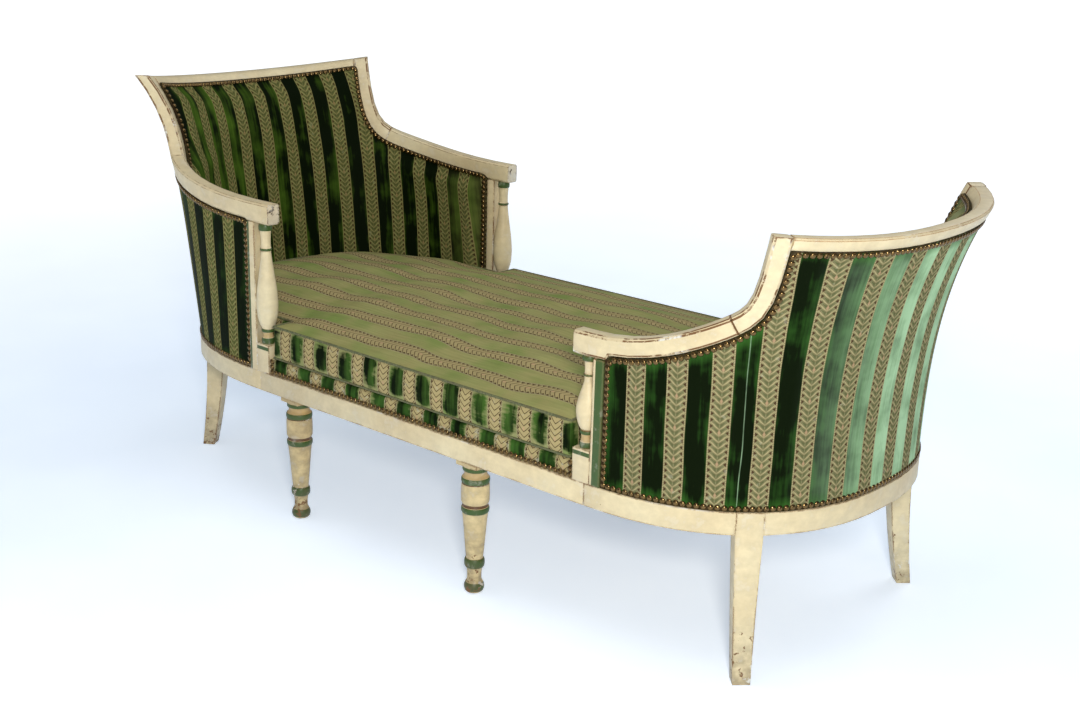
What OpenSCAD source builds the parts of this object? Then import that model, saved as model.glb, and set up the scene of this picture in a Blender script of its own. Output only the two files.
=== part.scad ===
// Painted recamier with two upholstered tub ends, a high head and a lower foot.
// The head lies towards -X, the foot towards +X, and the floor is z = 0.
// Each end is written once in its own plan: p runs outwards from the baluster line, y across, z up.

/* [Seat frame] */
// Distance between the baluster axes of the head and the foot
bay_l = 908; // [760:2:1100]
// Width over the outer faces of the seat rails
seat_w = 784; // [700:2:880]
// Height of the top of the seat rails above the floor
rail_top = 324; // [290:1:360]
// Height of a seat rail
rail_h = 43; // [36:1:52]
// Thickness of a seat rail
rail_t = 45; // [40:1:52]
// How far the rails bow out past the start of the head curve
head_bow = 478; // [400:2:540]
// How far the rails bow out past the start of the foot curve
foot_bow = 398; // [340:2:460]
// Straight lead from the baluster axis to the start of each curve
bow_lead = 10; // [6:1:16]
// Squareness of the curve in plan, 2 is an ellipse
bow_power = 2.32; // [2.1:0.02:2.6]
// Width of a cross stretcher under the seat
stretcher_w = 50; // [40:1:70]
// Height of a cross stretcher
stretcher_h = 30; // [24:1:34]
// Length of the tenon on a cross stretcher
stretcher_tenon = 14; // [8:1:20]
// Distance of a cross stretcher from the turned leg beside it
stretcher_at = 92; // [70:1:130]

/* [Wooden ends] */
// Height of the top of the head arms at their front
head_arm_z = 700; // [640:1:760]
// Height of the top of the foot arms at their front
foot_arm_z = 608; // [560:1:660]
// Height of the corners of the head crest above the front of its arms
head_crest_up = 222; // [180:1:270]
// Height of the corners of the foot crest above the front of its arms
foot_crest_up = 228; // [190:1:270]
// Rise of a head arm before it sweeps up
head_arm_rise = 70; // [50:1:90]
// Rise of a foot arm before it sweeps up
foot_arm_rise = 104; // [80:1:120]
// How far the head leans out at its crest
head_flare = 132; // [90:1:160]
// How far the foot leans out at its crest
foot_flare = 90; // [50:1:110]
// Dip in the middle of the head crest
head_dip = 27; // [0:1:40]
// Dip in the middle of the foot crest
foot_dip = 12; // [0:1:30]
// Height of the face of an arm and width of a stile at the head
head_arm_h = 40; // [34:1:46]
// Height of the face of an arm and width of a stile at the foot
foot_arm_h = 35; // [30:1:42]
// Height of the squared block at the front of an arm
block_h = 44; // [36:1:52]
// Thickness of the arms, stiles and crests
arm_t = 32; // [28:1:38]
// How far an arm runs forward of the baluster axis
arm_front = 28; // [24:1:36]
// Height of a crest rail
crest_h = 24; // [20:1:32]
// Arris taken off the arms, stiles and crests
arris = 4; // [1:0.5:6]
// Width of a flat post behind a baluster
post_w = 24; // [16:1:30]
// Depth of a flat post
post_d = 30; // [22:1:32]
// Width of a plinth block
plinth_w = 40; // [34:1:46]
// Height of a plinth block
plinth_h = 64; // [50:1:80]
// Gap between a flat post and the swell of its baluster
post_gap = 0.6; // [0.3:0.1:1]
// Width of a hidden upright in an end wall
upright_w = 44; // [30:1:60]
// Gap between a hidden upright and the covers beside it
upright_gap = 2.4; // [1:0.1:3]

/* [Balusters] */
// Radius of the swelling of a head baluster
head_bulb_r = 23.5; // [18:0.5:27]
// Radius of the swelling of a foot baluster
foot_bulb_r = 17.5; // [14:0.5:22]
// Radius of the pin at each end of a baluster
pin_r = 5; // [3:0.5:7]
// Length of the pin at each end of a baluster
pin_l = 12; // [8:1:18]

/* [Legs] */
// Distance from the head baluster axis to the first turned leg
first_leg_at = 86; // [70:2:200]
// Distance from the head baluster axis to the second turned leg
second_leg_at = 621; // [480:2:680]
// Side of the square block on top of a turned leg
leg_block = 54; // [48:1:60]
// Radius of the drum of a turned leg
drum_r = 28; // [24:0.5:32]
// Radius of the top of the tapered shaft
shaft_top_r = 26; // [20:0.5:28]
// Radius of the foot of the tapered shaft
shaft_foot_r = 17.5; // [14:0.5:20]
// Radius of the bun foot
bun_r = 20.5; // [17:0.5:24]
// Radius of the spigot that holds a turned leg in its rail
spigot_r = 10; // [7:0.5:13]
// Length of that spigot
spigot_l = 28; // [16:1:32]
// Width of a sabre leg at the rail
sabre_w = 50; // [42:1:58]
// Width of a sabre leg at the floor
sabre_foot_w = 33; // [26:1:40]
// Depth of a sabre leg at the floor
sabre_foot_d = 29; // [22:1:36]
// How far the foot of a sabre leg sweeps out
sabre_out = 22; // [10:1:50]

/* [Joinery] */
// Radius of a rail dowel
dowel_r = 5; // [3:0.5:6]
// Length of a rail dowel
dowel_l = 50; // [36:1:60]
// Gap round pins, spigots and dowels in their holes
hole_gap = 0.1; // [0.05:0.05:0.3]

/* [Upholstery] */
// Set-back of the outer cover from the face of the wood
cover_in = 4; // [2:0.5:6]
// Thickness of an outer cover
cover_t = 4; // [3:0.5:5]
// Thickness of an inner pad at its edges
pad_t = 5; // [4:0.5:8]
// Crown of an inner pad
pad_crown = 22; // [10:1:28]
// Width of the flat margin where an inner pad is nailed down
pad_margin = 24; // [20:1:30]
// Distance over which an inner pad rises from that margin to its full thickness
pad_rise = 44; // [20:1:70]
// How far an inner pad laps over the inner face of the wood
pad_lap = 10; // [4:1:16]
// Height of the covered band on a seat rail
band_h = 36; // [28:1:44]
// Thickness of that band
band_t = 22; // [16:1:24]
// Height of the mattress at its edge
mattress_h = 74; // [60:1:90]
// Crown of the mattress above its edge
mattress_crown = 36; // [20:1:50]
// Drawing-in of the mattress sides half way up
drawn_in = 4; // [1:0.5:8]
// Radius of the piping of the mattress
piping_r = 3.5; // [2.5:0.5:5]
// Width of a webbing strip
web_w = 50; // [40:1:60]
// Thickness of a webbing strip
web_t = 2.5; // [2:0.5:4]
// Spacing of the webbing strips
web_pitch = 96; // [80:1:130]
// Diameter of a nail head
nail_d = 12; // [10:0.5:13]
// Height of a nail head
nail_h = 3.5; // [2.5:0.5:3.5]
// Gap between the upholstery and what it lies against
soft_gap = 0.3; // [0.2:0.1:0.5]

/* [Hidden] */

HEAD = 0;
FOOT = 1;
BACK = 1;
FRONT = -1;
half_w = seat_w / 2;
half_bay = bay_l / 2;
rail_bottom = rail_top - rail_h;
bow = [head_bow, foot_bow];
arm_z = [head_arm_z, foot_arm_z];
crest_z = [head_arm_z + head_crest_up, foot_arm_z + foot_crest_up];
arm_rise = [head_arm_rise, foot_arm_rise];
out_flare = [head_flare, foot_flare];
crest_dip = [head_dip, foot_dip];
arm_h = [head_arm_h, foot_arm_h];
bulb_r = [head_bulb_r, foot_bulb_r];

// Angles along each end's curve: 90 is the start of the curve, 0 its middle
corner_at = [40, 47];
sabre_at = [30, 45];
upright_at = [22, 28];
lead_step = 5;
fade_from = 92;
fade_over = 46;

// Shapes of the sweeps, as powers and shares
curve_share = 2 / bow_power;
normal_share = curve_share * (bow_power - 1);
flare_low_share = [0.45, 0.05];
flare_power = [6, 2.9];
rise_power = [2, 1.8];
sweep_power = [22, 34];
spread_power = 2.2;
arm_steps = 15;
crest_steps = 20;
scarf_step = 11;
swell_power = 3;
row_shares = [0, 0.06, 0.4, 0.62, 0.78, 0.88, 0.955, 1];
crest_col_shares = [0.06, 0.2, 0.4, 0.6, 0.8, 1];

// Outline of a baluster from its foot up: radii as shares of the swelling, heights of the length
baluster_shares = [
  [0.46, 0], [0.46, 0.01], [0.6, 0.015], [0.6, 0.045], [0.46, 0.055], [0.46, 0.09], [0.6, 0.1],
  [0.6, 0.125], [0.52, 0.135], [0.72, 0.18], [0.9, 0.25], [1, 0.335], [0.96, 0.41], [0.84, 0.5],
  [0.68, 0.6], [0.53, 0.7], [0.46, 0.775], [0.58, 0.78], [0.58, 0.8], [0.46, 0.805], [0.52, 0.945],
  [0.6, 0.95], [0.6, 0.985], [0.52, 1]];

// Heights on a turned leg as shares of its length below the rail
leg_foot_share = 0.071;
leg_ankle_share = 0.196;
leg_ring_share = 0.263;
leg_shaft_share = 0.619;
leg_drum_share = 0.69;
leg_top_ring_share = 0.895;
leg_block_share = 0.97;

// The crown of the mattress: how far in from the edge, and how high
crown_shares = [[0.9, 0.3], [0.75, 0.6], [0.55, 0.84], [0.3, 0.97]];
outline_from = 84;
outline_step = 8;
piping_sides = 5;

post_from = plinth_w / 2;
post_to = post_from + post_w;
pad_near = -arm_t - 3 * soft_gap;
pad_face = pad_near - pad_t;
wall_in = pad_crown + 2 * soft_gap - pad_face;
notch = arm_front + 4 * soft_gap;
head_reach = half_bay + bow_lead + head_bow + flare(HEAD, 0, crest_top(HEAD, 0) - arris);
foot_reach = half_bay + bow_lead + foot_bow + flare(FOOT, 0, crest_top(FOOT, 0) - arris);
shift_x = (head_reach - foot_reach) / 2;
baluster_in = arm_t / 2;
leg_in = leg_block / 2 + soft_gap;
deck_z = rail_top + 2 * web_t + soft_gap;
mattress_z = rail_top + band_h + soft_gap;
pad_z = rail_top + 2 * web_t + 2 * soft_gap;
fine = 48;
cream = [0.93, 0.88, 0.71];
velvet = [0.16, 0.34, 0.17];
braid = [0.55, 0.55, 0.37];
bronze = [0.33, 0.22, 0.12];
jute = [0.63, 0.52, 0.36];

// Plan and walls of an end

function signed_pow(v, k) = sign(v) * pow(abs(v), k);
function unit(v) = v / norm(v);
function smooth(v) = let (k = min(max(v, 0), 1)) k * k * (3 - 2 * k);

function plan(e, t) = abs(t) <= 90
  ? [bow_lead + bow[e] * pow(cos(t), curve_share), half_w * signed_pow(sin(t), curve_share)]
  : [bow_lead - (abs(t) - 90) * lead_step, sign(t) * half_w];

function outward(e, t) = abs(t) >= 90
  ? [0, sign(t)]
  : unit([pow(cos(t), normal_share) / bow[e], signed_pow(sin(t), normal_share) / half_w]);

function lean_share(e, z) = let (
    h = max(0, z - rail_top) / (crest_z[e] - rail_top),
    low = flare_low_share[e])
  low * h + (1 - low) * pow(h, flare_power[e]);

function flare(e, t, z) = out_flare[e] * smooth((fade_from - abs(t)) / fade_over) * lean_share(e, z);

function wall(e, t, z, off) = let (
    p = plan(e, t),
    u = outward(e, t),
    k = flare(e, t, z) + off)
  [p.x + u.x * k, p.y + u.y * k, z];

// Length of wall per degree of the curve
function run(e, t, z) = norm(wall(e, t + 0.5, z, 0) - wall(e, t - 0.5, z, 0));

// Curve angle at a distance p past the baluster line
function angle_at(e, p) = acos(pow((p - bow_lead) / bow[e], 1 / curve_share));

// Top edge of an end: level arm, slow rise, sharp sweep up to the corner, then the crest
function edge_share(e, t) = (90 - min(abs(t), 90)) / (90 - corner_at[e]);
function arm_top(e, t) = let (w = edge_share(e, t))
  arm_z[e] + arm_rise[e] * pow(w, rise_power[e])
  + (crest_z[e] - arm_z[e] - arm_rise[e]) * pow(w, sweep_power[e]);
function crest_top(e, t) = crest_z[e] - crest_dip[e] * (1 - pow(t / corner_at[e], 2));

function arm_angles(e) = let (first = angle_at(e, post_to))
  concat([90 + (bow_lead + arm_front) / lead_step, 90, first, angle_at(e, post_to + arris)],
    [for (i = [1 : arm_steps]) let (v = i / arm_steps)
      first - (first - corner_at[e]) * (1 - pow(1 - v, spread_power))]);
function arm_edge(e) = [for (t = arm_angles(e)) [t, arm_top(e, t)]];
function edge_w(e, i) = i < 3 ? block_h : arm_h[e];

// A point on the wall moved square to the path by d, down from an arm or inwards from a stile
function moved_in(e, path, i, d) = let (
    a = path[max(i - 1, 0)],
    b = path[min(i + 1, len(path) - 1)],
    s = run(e, path[i][0], path[i][1]),
    dir = unit([(b[0] - a[0]) * s, b[1] - a[1]]))
  [path[i][0] - dir.y * d / s, path[i][1] + dir.x * d];

// Solids from rings of points

module loft(rings) {
  n = len(rings[0]);
  last = len(rings) - 1;
  sides = [for (i = [0 : last - 1], k = [0 : n - 1])
    each [[i * n + k, i * n + (k + 1) % n, (i + 1) * n + (k + 1) % n],
      [i * n + k, (i + 1) * n + (k + 1) % n, (i + 1) * n + k]]];
  start = [for (k = [1 : n - 2]) [0, k + 1, k]];
  end = [for (k = [1 : n - 2]) [last * n, last * n + k, last * n + k + 1]];
  polyhedron(points = [for (r = rings) each r], faces = concat(sides, start, end));
}

module ring_loop(rings) {
  n = len(rings[0]);
  count = len(rings);
  polyhedron(
    points = [for (r = rings) each r],
    faces = [for (i = [0 : count - 1], k = [0 : n - 1]) let (j = (i + 1) % count)
      each [[i * n + k, i * n + (k + 1) % n, j * n + (k + 1) % n],
        [i * n + k, j * n + (k + 1) % n, j * n + k]]]);
}

// A sheet of columns and rows between an outer and an inner face
module slab(outer, inner) {
  cols = len(outer);
  rows = len(outer[0]);
  half = cols * rows;
  middle = (cols - 1) / 2;
  grid = [for (c = [0 : cols - 2], r = [0 : rows - 2]) let (a = c * rows + r, b = a + rows)
    each c < middle ? [[a, a + 1, b], [a + 1, b + 1, b]] : [[a, a + 1, b + 1], [a, b + 1, b]]];
  back = [for (f = grid) [half + f[0], half + f[2], half + f[1]]];
  low = [for (c = [0 : cols - 2]) let (a = c * rows, b = a + rows)
    each [[a, b, half + b], [a, half + b, half + a]]];
  high = [for (c = [0 : cols - 2]) let (a = (c + 1) * rows - 1, b = a + rows)
    each [[a, half + b, b], [a, half + a, half + b]]];
  left = [for (r = [0 : rows - 2]) each [[r, half + r, half + r + 1], [r, half + r + 1, r + 1]]];
  right = [for (r = [0 : rows - 2]) let (a = half - rows + r)
    each [[a, half + a + 1, half + a], [a, a + 1, half + a + 1]]];
  polyhedron(
    points = concat([for (c = outer) each c], [for (c = inner) each c]),
    faces = concat(grid, back, low, high, left, right));
}

// Places

module at_end(e) {
  translate([shift_x, 0, 0]) {
    mirror([e == HEAD ? 1 : 0, 0, 0]) {
      translate([half_bay, 0, 0]) {
        children();
      }
    }
  }
}

module on_side(side) {
  mirror([0, side == FRONT ? 1 : 0, 0]) {
    children();
  }
}

module at_angle(e, t) {
  p = plan(e, t);
  u = outward(e, t);
  translate([p.x, p.y, 0]) {
    rotate([0, 0, atan2(u.y, u.x)]) {
      children();
    }
  }
}

// Seat rails

module rail_plan(e, from, to) {
  steps = 18;
  angles = [for (i = [0 : steps]) from + (to - from) * i / steps];
  outer = [for (t = angles) let (w = wall(e, t, 0, 0)) [w.x, w.y]];
  inner = [for (i = [steps : -1 : 0]) let (w = wall(e, angles[i], 0, -rail_t)) [w.x, w.y]];
  difference() {
    polygon(concat(outer, inner));
    for (side = [FRONT, BACK]) {
      on_side(side) {
        at_angle(e, sabre_at[e]) {
          translate([-2 * rail_t, -sabre_w / 2]) {
            square([3 * rail_t, sabre_w]);
          }
        }
      }
    }
  }
}

module curved_rail(e, from, to) {
  color(cream) {
    at_end(e) {
      difference() {
        translate([0, 0, rail_bottom]) {
          linear_extrude(rail_h) {
            rail_plan(e, from, to);
          }
        }
        end_dowels(e, dowel_r + hole_gap);
      }
    }
  }
}

module side_rail(side) {
  long = bay_l + 2 * bow_lead;
  color(cream) {
    on_side(side) {
      difference() {
        translate([shift_x - long / 2, half_w - rail_t, rail_bottom]) {
          cube([long, rail_t, rail_h]);
        }
        for (x = [first_leg_at, second_leg_at]) {
          translate([shift_x - half_bay + x, half_w - leg_in, rail_bottom - rail_h]) {
            cylinder(h = rail_h + spigot_l + arris, r = spigot_r + hole_gap, $fn = fine);
          }
        }
        stretcher_bar(first_leg_at + stretcher_at);
        stretcher_bar(second_leg_at - stretcher_at);
        for (e = [HEAD, FOOT]) {
          at_end(e) {
            lead_dowels(dowel_r + hole_gap);
          }
        }
      }
    }
  }
}

// A stretcher with its two tenons
module stretcher_bar(x) {
  inside = half_w - rail_t;
  z = rail_bottom + arris;
  shoulder = arris;
  translate([shift_x - half_bay + x - stretcher_w / 2, -inside, z]) {
    cube([stretcher_w, 2 * inside, stretcher_h]);
  }
  translate([shift_x - half_bay + x - stretcher_w / 2 + shoulder, -inside - stretcher_tenon, z + shoulder]) {
    cube([stretcher_w - 2 * shoulder, 2 * (inside + stretcher_tenon), stretcher_h - 2 * shoulder]);
  }
}

module cross_stretcher(x) {
  color(jute) {
    stretcher_bar(x);
  }
}

// Dowels of the joint between a side rail and a curved rail
module lead_dowels(r) {
  for (z = [rail_h / 4, rail_h * 3 / 4]) {
    translate([bow_lead - dowel_l / 2, half_w - rail_t / 2, rail_bottom + z]) {
      rotate([0, 90, 0]) {
        cylinder(h = dowel_l, r = r, $fn = fine);
      }
    }
  }
}

// Dowels of the joints between the curved rails and the sabre legs
module end_dowels(e, r) {
  for (side = [FRONT, BACK]) {
    on_side(side) {
      lead_dowels(r);
      at_angle(e, sabre_at[e]) {
        for (z = [rail_h / 4, rail_h * 3 / 4], y = [-sabre_w / 2, sabre_w / 2]) {
          translate([-rail_t / 2, y, rail_bottom + z]) {
            rotate([90, 0, 0]) {
              cylinder(h = sabre_w - 2 * arris, r = r, center = true, $fn = fine);
            }
          }
        }
      }
    }
  }
}

module rail_dowels() {
  color(jute) {
    for (e = [HEAD, FOOT]) {
      at_end(e) {
        end_dowels(e, dowel_r);
      }
    }
  }
}

// Legs

// Outline of a turned leg from the floor up
module turned_leg_profile() {
  ring_r = drum_r - arris / 2;
  neck_r = shaft_foot_r - arris;
  h = rail_bottom;
  a = arris;
  foot_z = leg_foot_share * h;
  ankle_z = leg_ankle_share * h;
  ring_z = leg_ring_share * h;
  shaft_z = leg_shaft_share * h;
  drum_z = leg_drum_share * h;
  top_ring_z = leg_top_ring_share * h;
  block_z = leg_block_share * h;
  polygon([
    [0, 0], [bun_r - a, 0], [bun_r, a], [bun_r, foot_z - a], [neck_r, foot_z],
    [neck_r + a / 2, ankle_z], [bun_r, ankle_z + a / 2], [bun_r, ring_z - a], [shaft_foot_r, ring_z],
    [shaft_top_r, shaft_z], [drum_r, shaft_z + a / 2], [drum_r, drum_z - a],
    [drum_r - a, drum_z - a / 2], [drum_r, drum_z], [drum_r, top_ring_z - a],
    [drum_r - a, top_ring_z], [drum_r - 2 * a, (top_ring_z + block_z) / 2],
    [ring_r - a / 2, block_z - a], [ring_r, block_z], [0, block_z]]);
}

module turned_leg(x, side) {
  block_z = leg_block_share * rail_bottom;
  color(cream) {
    translate([shift_x - half_bay + x, side * (half_w - leg_in), 0]) {
      rotate_extrude($fn = fine) {
        turned_leg_profile();
      }
      translate([-leg_block / 2, -leg_block / 2, block_z]) {
        cube([leg_block, leg_block, rail_bottom - block_z]);
      }
      translate([0, 0, block_z]) {
        cylinder(h = rail_bottom - block_z + spigot_l, r = spigot_r, $fn = fine);
      }
    }
  }
}

// The head of a sabre leg, which stands between two rails
module sabre_block(e) {
  at_angle(e, sabre_at[e]) {
    translate([-rail_t, -sabre_w / 2, rail_bottom]) {
      cube([rail_t, sabre_w, rail_h]);
    }
  }
}

module sabre_side_profile() {
  steps = 10;
  outer = [for (i = [0 : steps]) let (k = i / steps) [sabre_out * pow(k, 2), rail_bottom * (1 - k)]];
  inner = [for (i = [steps : -1 : 0]) let (k = i / steps)
    [sabre_out * pow(k, 2) - rail_t + (rail_t - sabre_foot_d) * k, rail_bottom * (1 - k)]];
  polygon(concat(outer, inner));
}

module sabre_leg(e, side) {
  color(cream) {
    at_end(e) {
      on_side(side) {
        difference() {
          union() {
            sabre_block(e);
            at_angle(e, sabre_at[e]) {
              intersection() {
                rotate([90, 0, 0]) {
                  linear_extrude(2 * sabre_w, center = true) {
                    sabre_side_profile();
                  }
                }
                rotate([90, 0, 90]) {
                  linear_extrude(2 * (rail_t + sabre_out), center = true) {
                    polygon([[-sabre_foot_w / 2, 0], [sabre_foot_w / 2, 0],
                      [sabre_w / 2, rail_bottom], [-sabre_w / 2, rail_bottom]]);
                  }
                }
              }
            }
          }
          end_dowels(e, dowel_r + hole_gap);
        }
      }
    }
  }
}

// Front posts

module plinth(e, side) {
  z = rail_top + plinth_h;
  color(cream) {
    at_end(e) {
      on_side(side) {
        difference() {
          translate([-plinth_w / 2, half_w - arm_t, rail_top]) {
            cube([plinth_w, arm_t, plinth_h]);
          }
          translate([0, half_w - baluster_in, z - pin_l]) {
            cylinder(h = 2 * pin_l, r = pin_r + hole_gap, $fn = fine);
          }
        }
      }
    }
  }
}

// The flat post behind a baluster, hollowed where a baluster's swell would touch it
module post(e, side) {
  h = arm_z[e] - block_h - rail_top;
  color(cream) {
    at_end(e) {
      on_side(side) {
        difference() {
          translate([post_from, half_w - post_d, rail_top]) {
            cube([post_w, post_d, h]);
          }
          translate([0, half_w - baluster_in, rail_top - arris]) {
            cylinder(h = h + 2 * arris, r = bulb_r[e] + post_gap, $fn = fine);
          }
        }
      }
    }
  }
}

module baluster_profile(r, h) {
  polygon(concat([[0, 0]], [for (s = baluster_shares) [s[0] * r, s[1] * h]], [[0, h]]));
}

module baluster(e, side) {
  z = rail_top + plinth_h;
  h = arm_z[e] - block_h - z;
  color(cream) {
    at_end(e) {
      on_side(side) {
        translate([0, half_w - baluster_in, z]) {
          rotate_extrude($fn = fine) {
            baluster_profile(bulb_r[e], h);
          }
          translate([0, 0, -pin_l + hole_gap]) {
            cylinder(h = h + 2 * (pin_l - hole_gap), r = pin_r, $fn = fine);
          }
        }
      }
    }
  }
}

// Arms, stiles and crests

// Eight-cornered section between an outer edge a and an inner edge b of the wall
function wood_ring(e, a, b, w) = let (c = arris / w, m = 1 - c)
  [for (s = [[c, 0], [m, 0], [1, -arris], [1, arris - arm_t], [m, -arm_t], [c, -arm_t],
      [0, arris - arm_t], [0, -arris]])
    let (q = a + (b - a) * s[0]) wall(e, q[0], q[1], s[1])];

function arm_rings(e, from, to) = let (path = arm_edge(e))
  [for (i = [from : to]) wood_ring(e, path[i], moved_in(e, path, i, edge_w(e, i)), edge_w(e, i))];

module arm_solid(e, from, to) {
  loft(arm_rings(e, from, to));
}

module arm(e, side) {
  color(cream) {
    at_end(e) {
      on_side(side) {
        difference() {
          arm_solid(e, 0, scarf_step);
          translate([0, half_w - baluster_in, arm_z[e] - block_h - pin_l]) {
            cylinder(h = 2 * pin_l, r = pin_r + hole_gap, $fn = fine);
          }
        }
      }
    }
  }
}

module stile(e, side) {
  color(cream) {
    at_end(e) {
      on_side(side) {
        arm_solid(e, scarf_step, arm_steps + 3);
      }
    }
  }
}

// Curve angle where the crest meets the inner edge of a stile
function crest_end(e) = let (path = arm_edge(e), last = len(path) - 1)
  moved_in(e, path, last, edge_w(e, last))[0];

// All that lies outwards of the inner edge of a stile
module stile_cutter(e) {
  path = arm_edge(e);
  last = len(path) - 1;
  ends = [for (i = [scarf_step : last])
    [moved_in(e, path, i, edge_w(e, i) + hole_gap), moved_in(e, path, i, -arm_t)]];
  lifted = [for (q = ends[len(ends) - 1]) [q[0], crest_z[e] + arm_t]];
  loft([for (q = concat(ends, [lifted])) [wall(e, q[1][0], q[1][1], arm_t), wall(e, q[0][0], q[0][1], arm_t),
    wall(e, q[0][0], q[0][1], -2 * arm_t), wall(e, q[1][0], q[1][1], -2 * arm_t)]]);
}

module crest(e) {
  far = crest_end(e) + (corner_at[e] - crest_end(e)) / 2;
  color(cream) {
    at_end(e) {
      difference() {
        loft([for (i = [0 : crest_steps]) let (t = far - 2 * far * i / crest_steps, z = crest_top(e, t))
          wood_ring(e, [t, z], [t, z - crest_h], crest_h)]);
        for (side = [FRONT, BACK]) {
          on_side(side) {
            stile_cutter(e);
          }
        }
      }
    }
  }
}

// A corner of an upright at a share of its height, under the crest at angle t
function upright_corner(e, t, share, off) =
  wall(e, t, rail_top + (crest_top(e, t) - crest_h - soft_gap - rail_top) * share, off);

// A hidden upright that carries the crest from the end rail
module upright(e, side) {
  t = upright_at[e];
  near = -cover_in - cover_t - upright_gap;
  far = upright_gap - arm_t;
  color(jute) {
    at_end(e) {
      on_side(side) {
        loft([for (s = row_shares) let (
            z = rail_top + (crest_top(e, t) - crest_h - rail_top) * s,
            d = upright_w / 2 / run(e, t, z))
          [upright_corner(e, t + d, s, near), upright_corner(e, t - d, s, near),
            upright_corner(e, t - d, s, far), upright_corner(e, t + d, s, far)]]);
      }
    }
  }
}

// Covers and pads of the ends

// Columns of a wall below its wooden edge, from the back post round to the front one
function side_cols(e, more) = let (
    path = arm_edge(e),
    last = len(path) - 1,
    near = angle_at(e, post_to + soft_gap),
    inner = angle_at(e, post_to + pad_margin))
  concat(
    [[near, arm_top(e, near) - block_h - more - 2 * soft_gap], moved_in(e, path, 3, arm_h[e] + more),
      [inner, arm_top(e, inner) - arm_h[e] - more]],
    [for (i = [4 : last]) let (q = moved_in(e, path, i, arm_h[e] + more))
      [q[0], min(q[1], crest_top(e, q[0]) - crest_h - more)]]);
function crest_cols(e, more) = let (side = side_cols(e, more), from = side[len(side) - 1][0])
  [for (s = crest_col_shares) let (t = from * (1 - s)) [t, crest_top(e, t) - crest_h - more]];
function wall_cols(e, more) = let (
    right = concat(side_cols(e, more), crest_cols(e, more)),
    n = len(right))
  concat(right, [for (i = [n - 2 : -1 : 0]) [-right[i][0], right[i][1]]]);

// Distance from the point p to the line from a to b
function line_gap(p, a, b) = let (ab = b - a, k = min(max((p - a) * ab / (ab * ab), 0), 1))
  norm(p - a - ab * k);

// Distance along a wall from a point to the nearest edge of its panel
function edge_gap(e, cols, t, z, z0) = let (s = run(e, t, z))
  min(concat([z - z0, (cols[0][0] - abs(t)) * s],
    [for (i = [1 : len(cols) - 1])
      line_gap([t * s, z], [cols[i - 1][0] * s, cols[i - 1][1]], [cols[i][0] * s, cols[i][1]])]));

// How full a pad is at a distance from its edge, flat where the nails are
function swell(d) = 1 - pow(1 - min(max(0, d - pad_margin) / pad_rise, 1), swell_power);

module wall_slab(e, more, z0, near, far, crown) {
  cols = wall_cols(e, more);
  places = [for (c = cols) [for (s = row_shares) [c[0], z0 + (c[1] - z0) * s]]];
  at_end(e) {
    slab(
      [for (col = places) [for (q = col) wall(e, q[0], q[1], near)]],
      [for (col = places) [for (q = col)
        wall(e, q[0], q[1], far - (crown == 0 ? 0 : crown * swell(edge_gap(e, cols, q[0], q[1], z0))))]]);
  }
}

module outer_cover(e) {
  color(velvet) {
    wall_slab(e, 2 * soft_gap, rail_top + soft_gap, -cover_in, -cover_in - cover_t, 0);
  }
}

module inner_pad(e) {
  color(velvet) {
    wall_slab(e, -pad_lap, pad_z, pad_near, pad_face, pad_crown);
  }
}

// Rows of domed nails

// A low ridge as wide as a nail along a path on the wall, raised outwards or, with a minus, inwards
module nail_ridge(e, path, base, lift) {
  last = len(path) - 1;
  loft([for (i = [0 : last]) [for (s = [[-1 / 2, 0], [-1 / 4, 1], [1 / 4, 1], [1 / 2, 0]])
    let (q = moved_in(e, path, i, s[0] * nail_d * sign(lift))) wall(e, q[0], q[1], base + lift * s[1])]]);
}

module nail_border(e, more, z0, base, lift, under) {
  inset = nail_d / 2 + soft_gap;
  cols = wall_cols(e, more + inset);
  first = angle_at(e, post_to + 2 * inset);
  high = cols[0][1];
  low = under ? z0 + 2 * inset + soft_gap : z0 + mattress_h;
  between = [for (c = cols) if (abs(c[0]) < first - 1) c];
  nail_ridge(e, concat([[first, high]], between, [[-first, high]]), base, lift);
  for (t = [first, -first]) {
    nail_ridge(e, [[t, low], [t, high - inset - soft_gap]], base, lift);
  }
  if (under) {
    nail_ridge(e, [for (c = concat([[first]], between, [[-first]])) [c[0], z0 + inset]], base, lift);
  }
}

module nail_rows(e) {
  color(bronze) {
    at_end(e) {
      nail_border(e, 0, rail_top, 3 * soft_gap - cover_in, nail_h, true);
      nail_border(e, -pad_lap, pad_z, pad_face - 6 * soft_gap, -nail_h, false);
    }
  }
}

// Seat

module seat_band(side) {
  long = bay_l - plinth_w - 2 * soft_gap;
  a = arris;
  color(braid) {
    on_side(side) {
      translate([shift_x - long / 2, half_w - cover_in, rail_top]) {
        rotate([90, 0, 90]) {
          linear_extrude(long) {
            polygon([[-band_t, 0], [0, 0], [0, band_h - 2 * a], [-a / 2, band_h - a],
              [-2 * a, band_h], [-band_t, band_h]]);
          }
        }
      }
    }
  }
}

module seat_nail_rows() {
  long = bay_l - plinth_w - 4 * soft_gap;
  r = nail_d / 2;
  color(bronze) {
    for (side = [FRONT, BACK]) {
      on_side(side) {
        translate([shift_x, half_w - cover_in, rail_top + soft_gap]) {
          rotate([90, 0, 90]) {
            linear_extrude(long, center = true) {
              polygon([[0, 0], [nail_h, r / 2], [nail_h, r * 3 / 2], [0, 2 * r]]);
            }
          }
        }
      }
    }
  }
}

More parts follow.
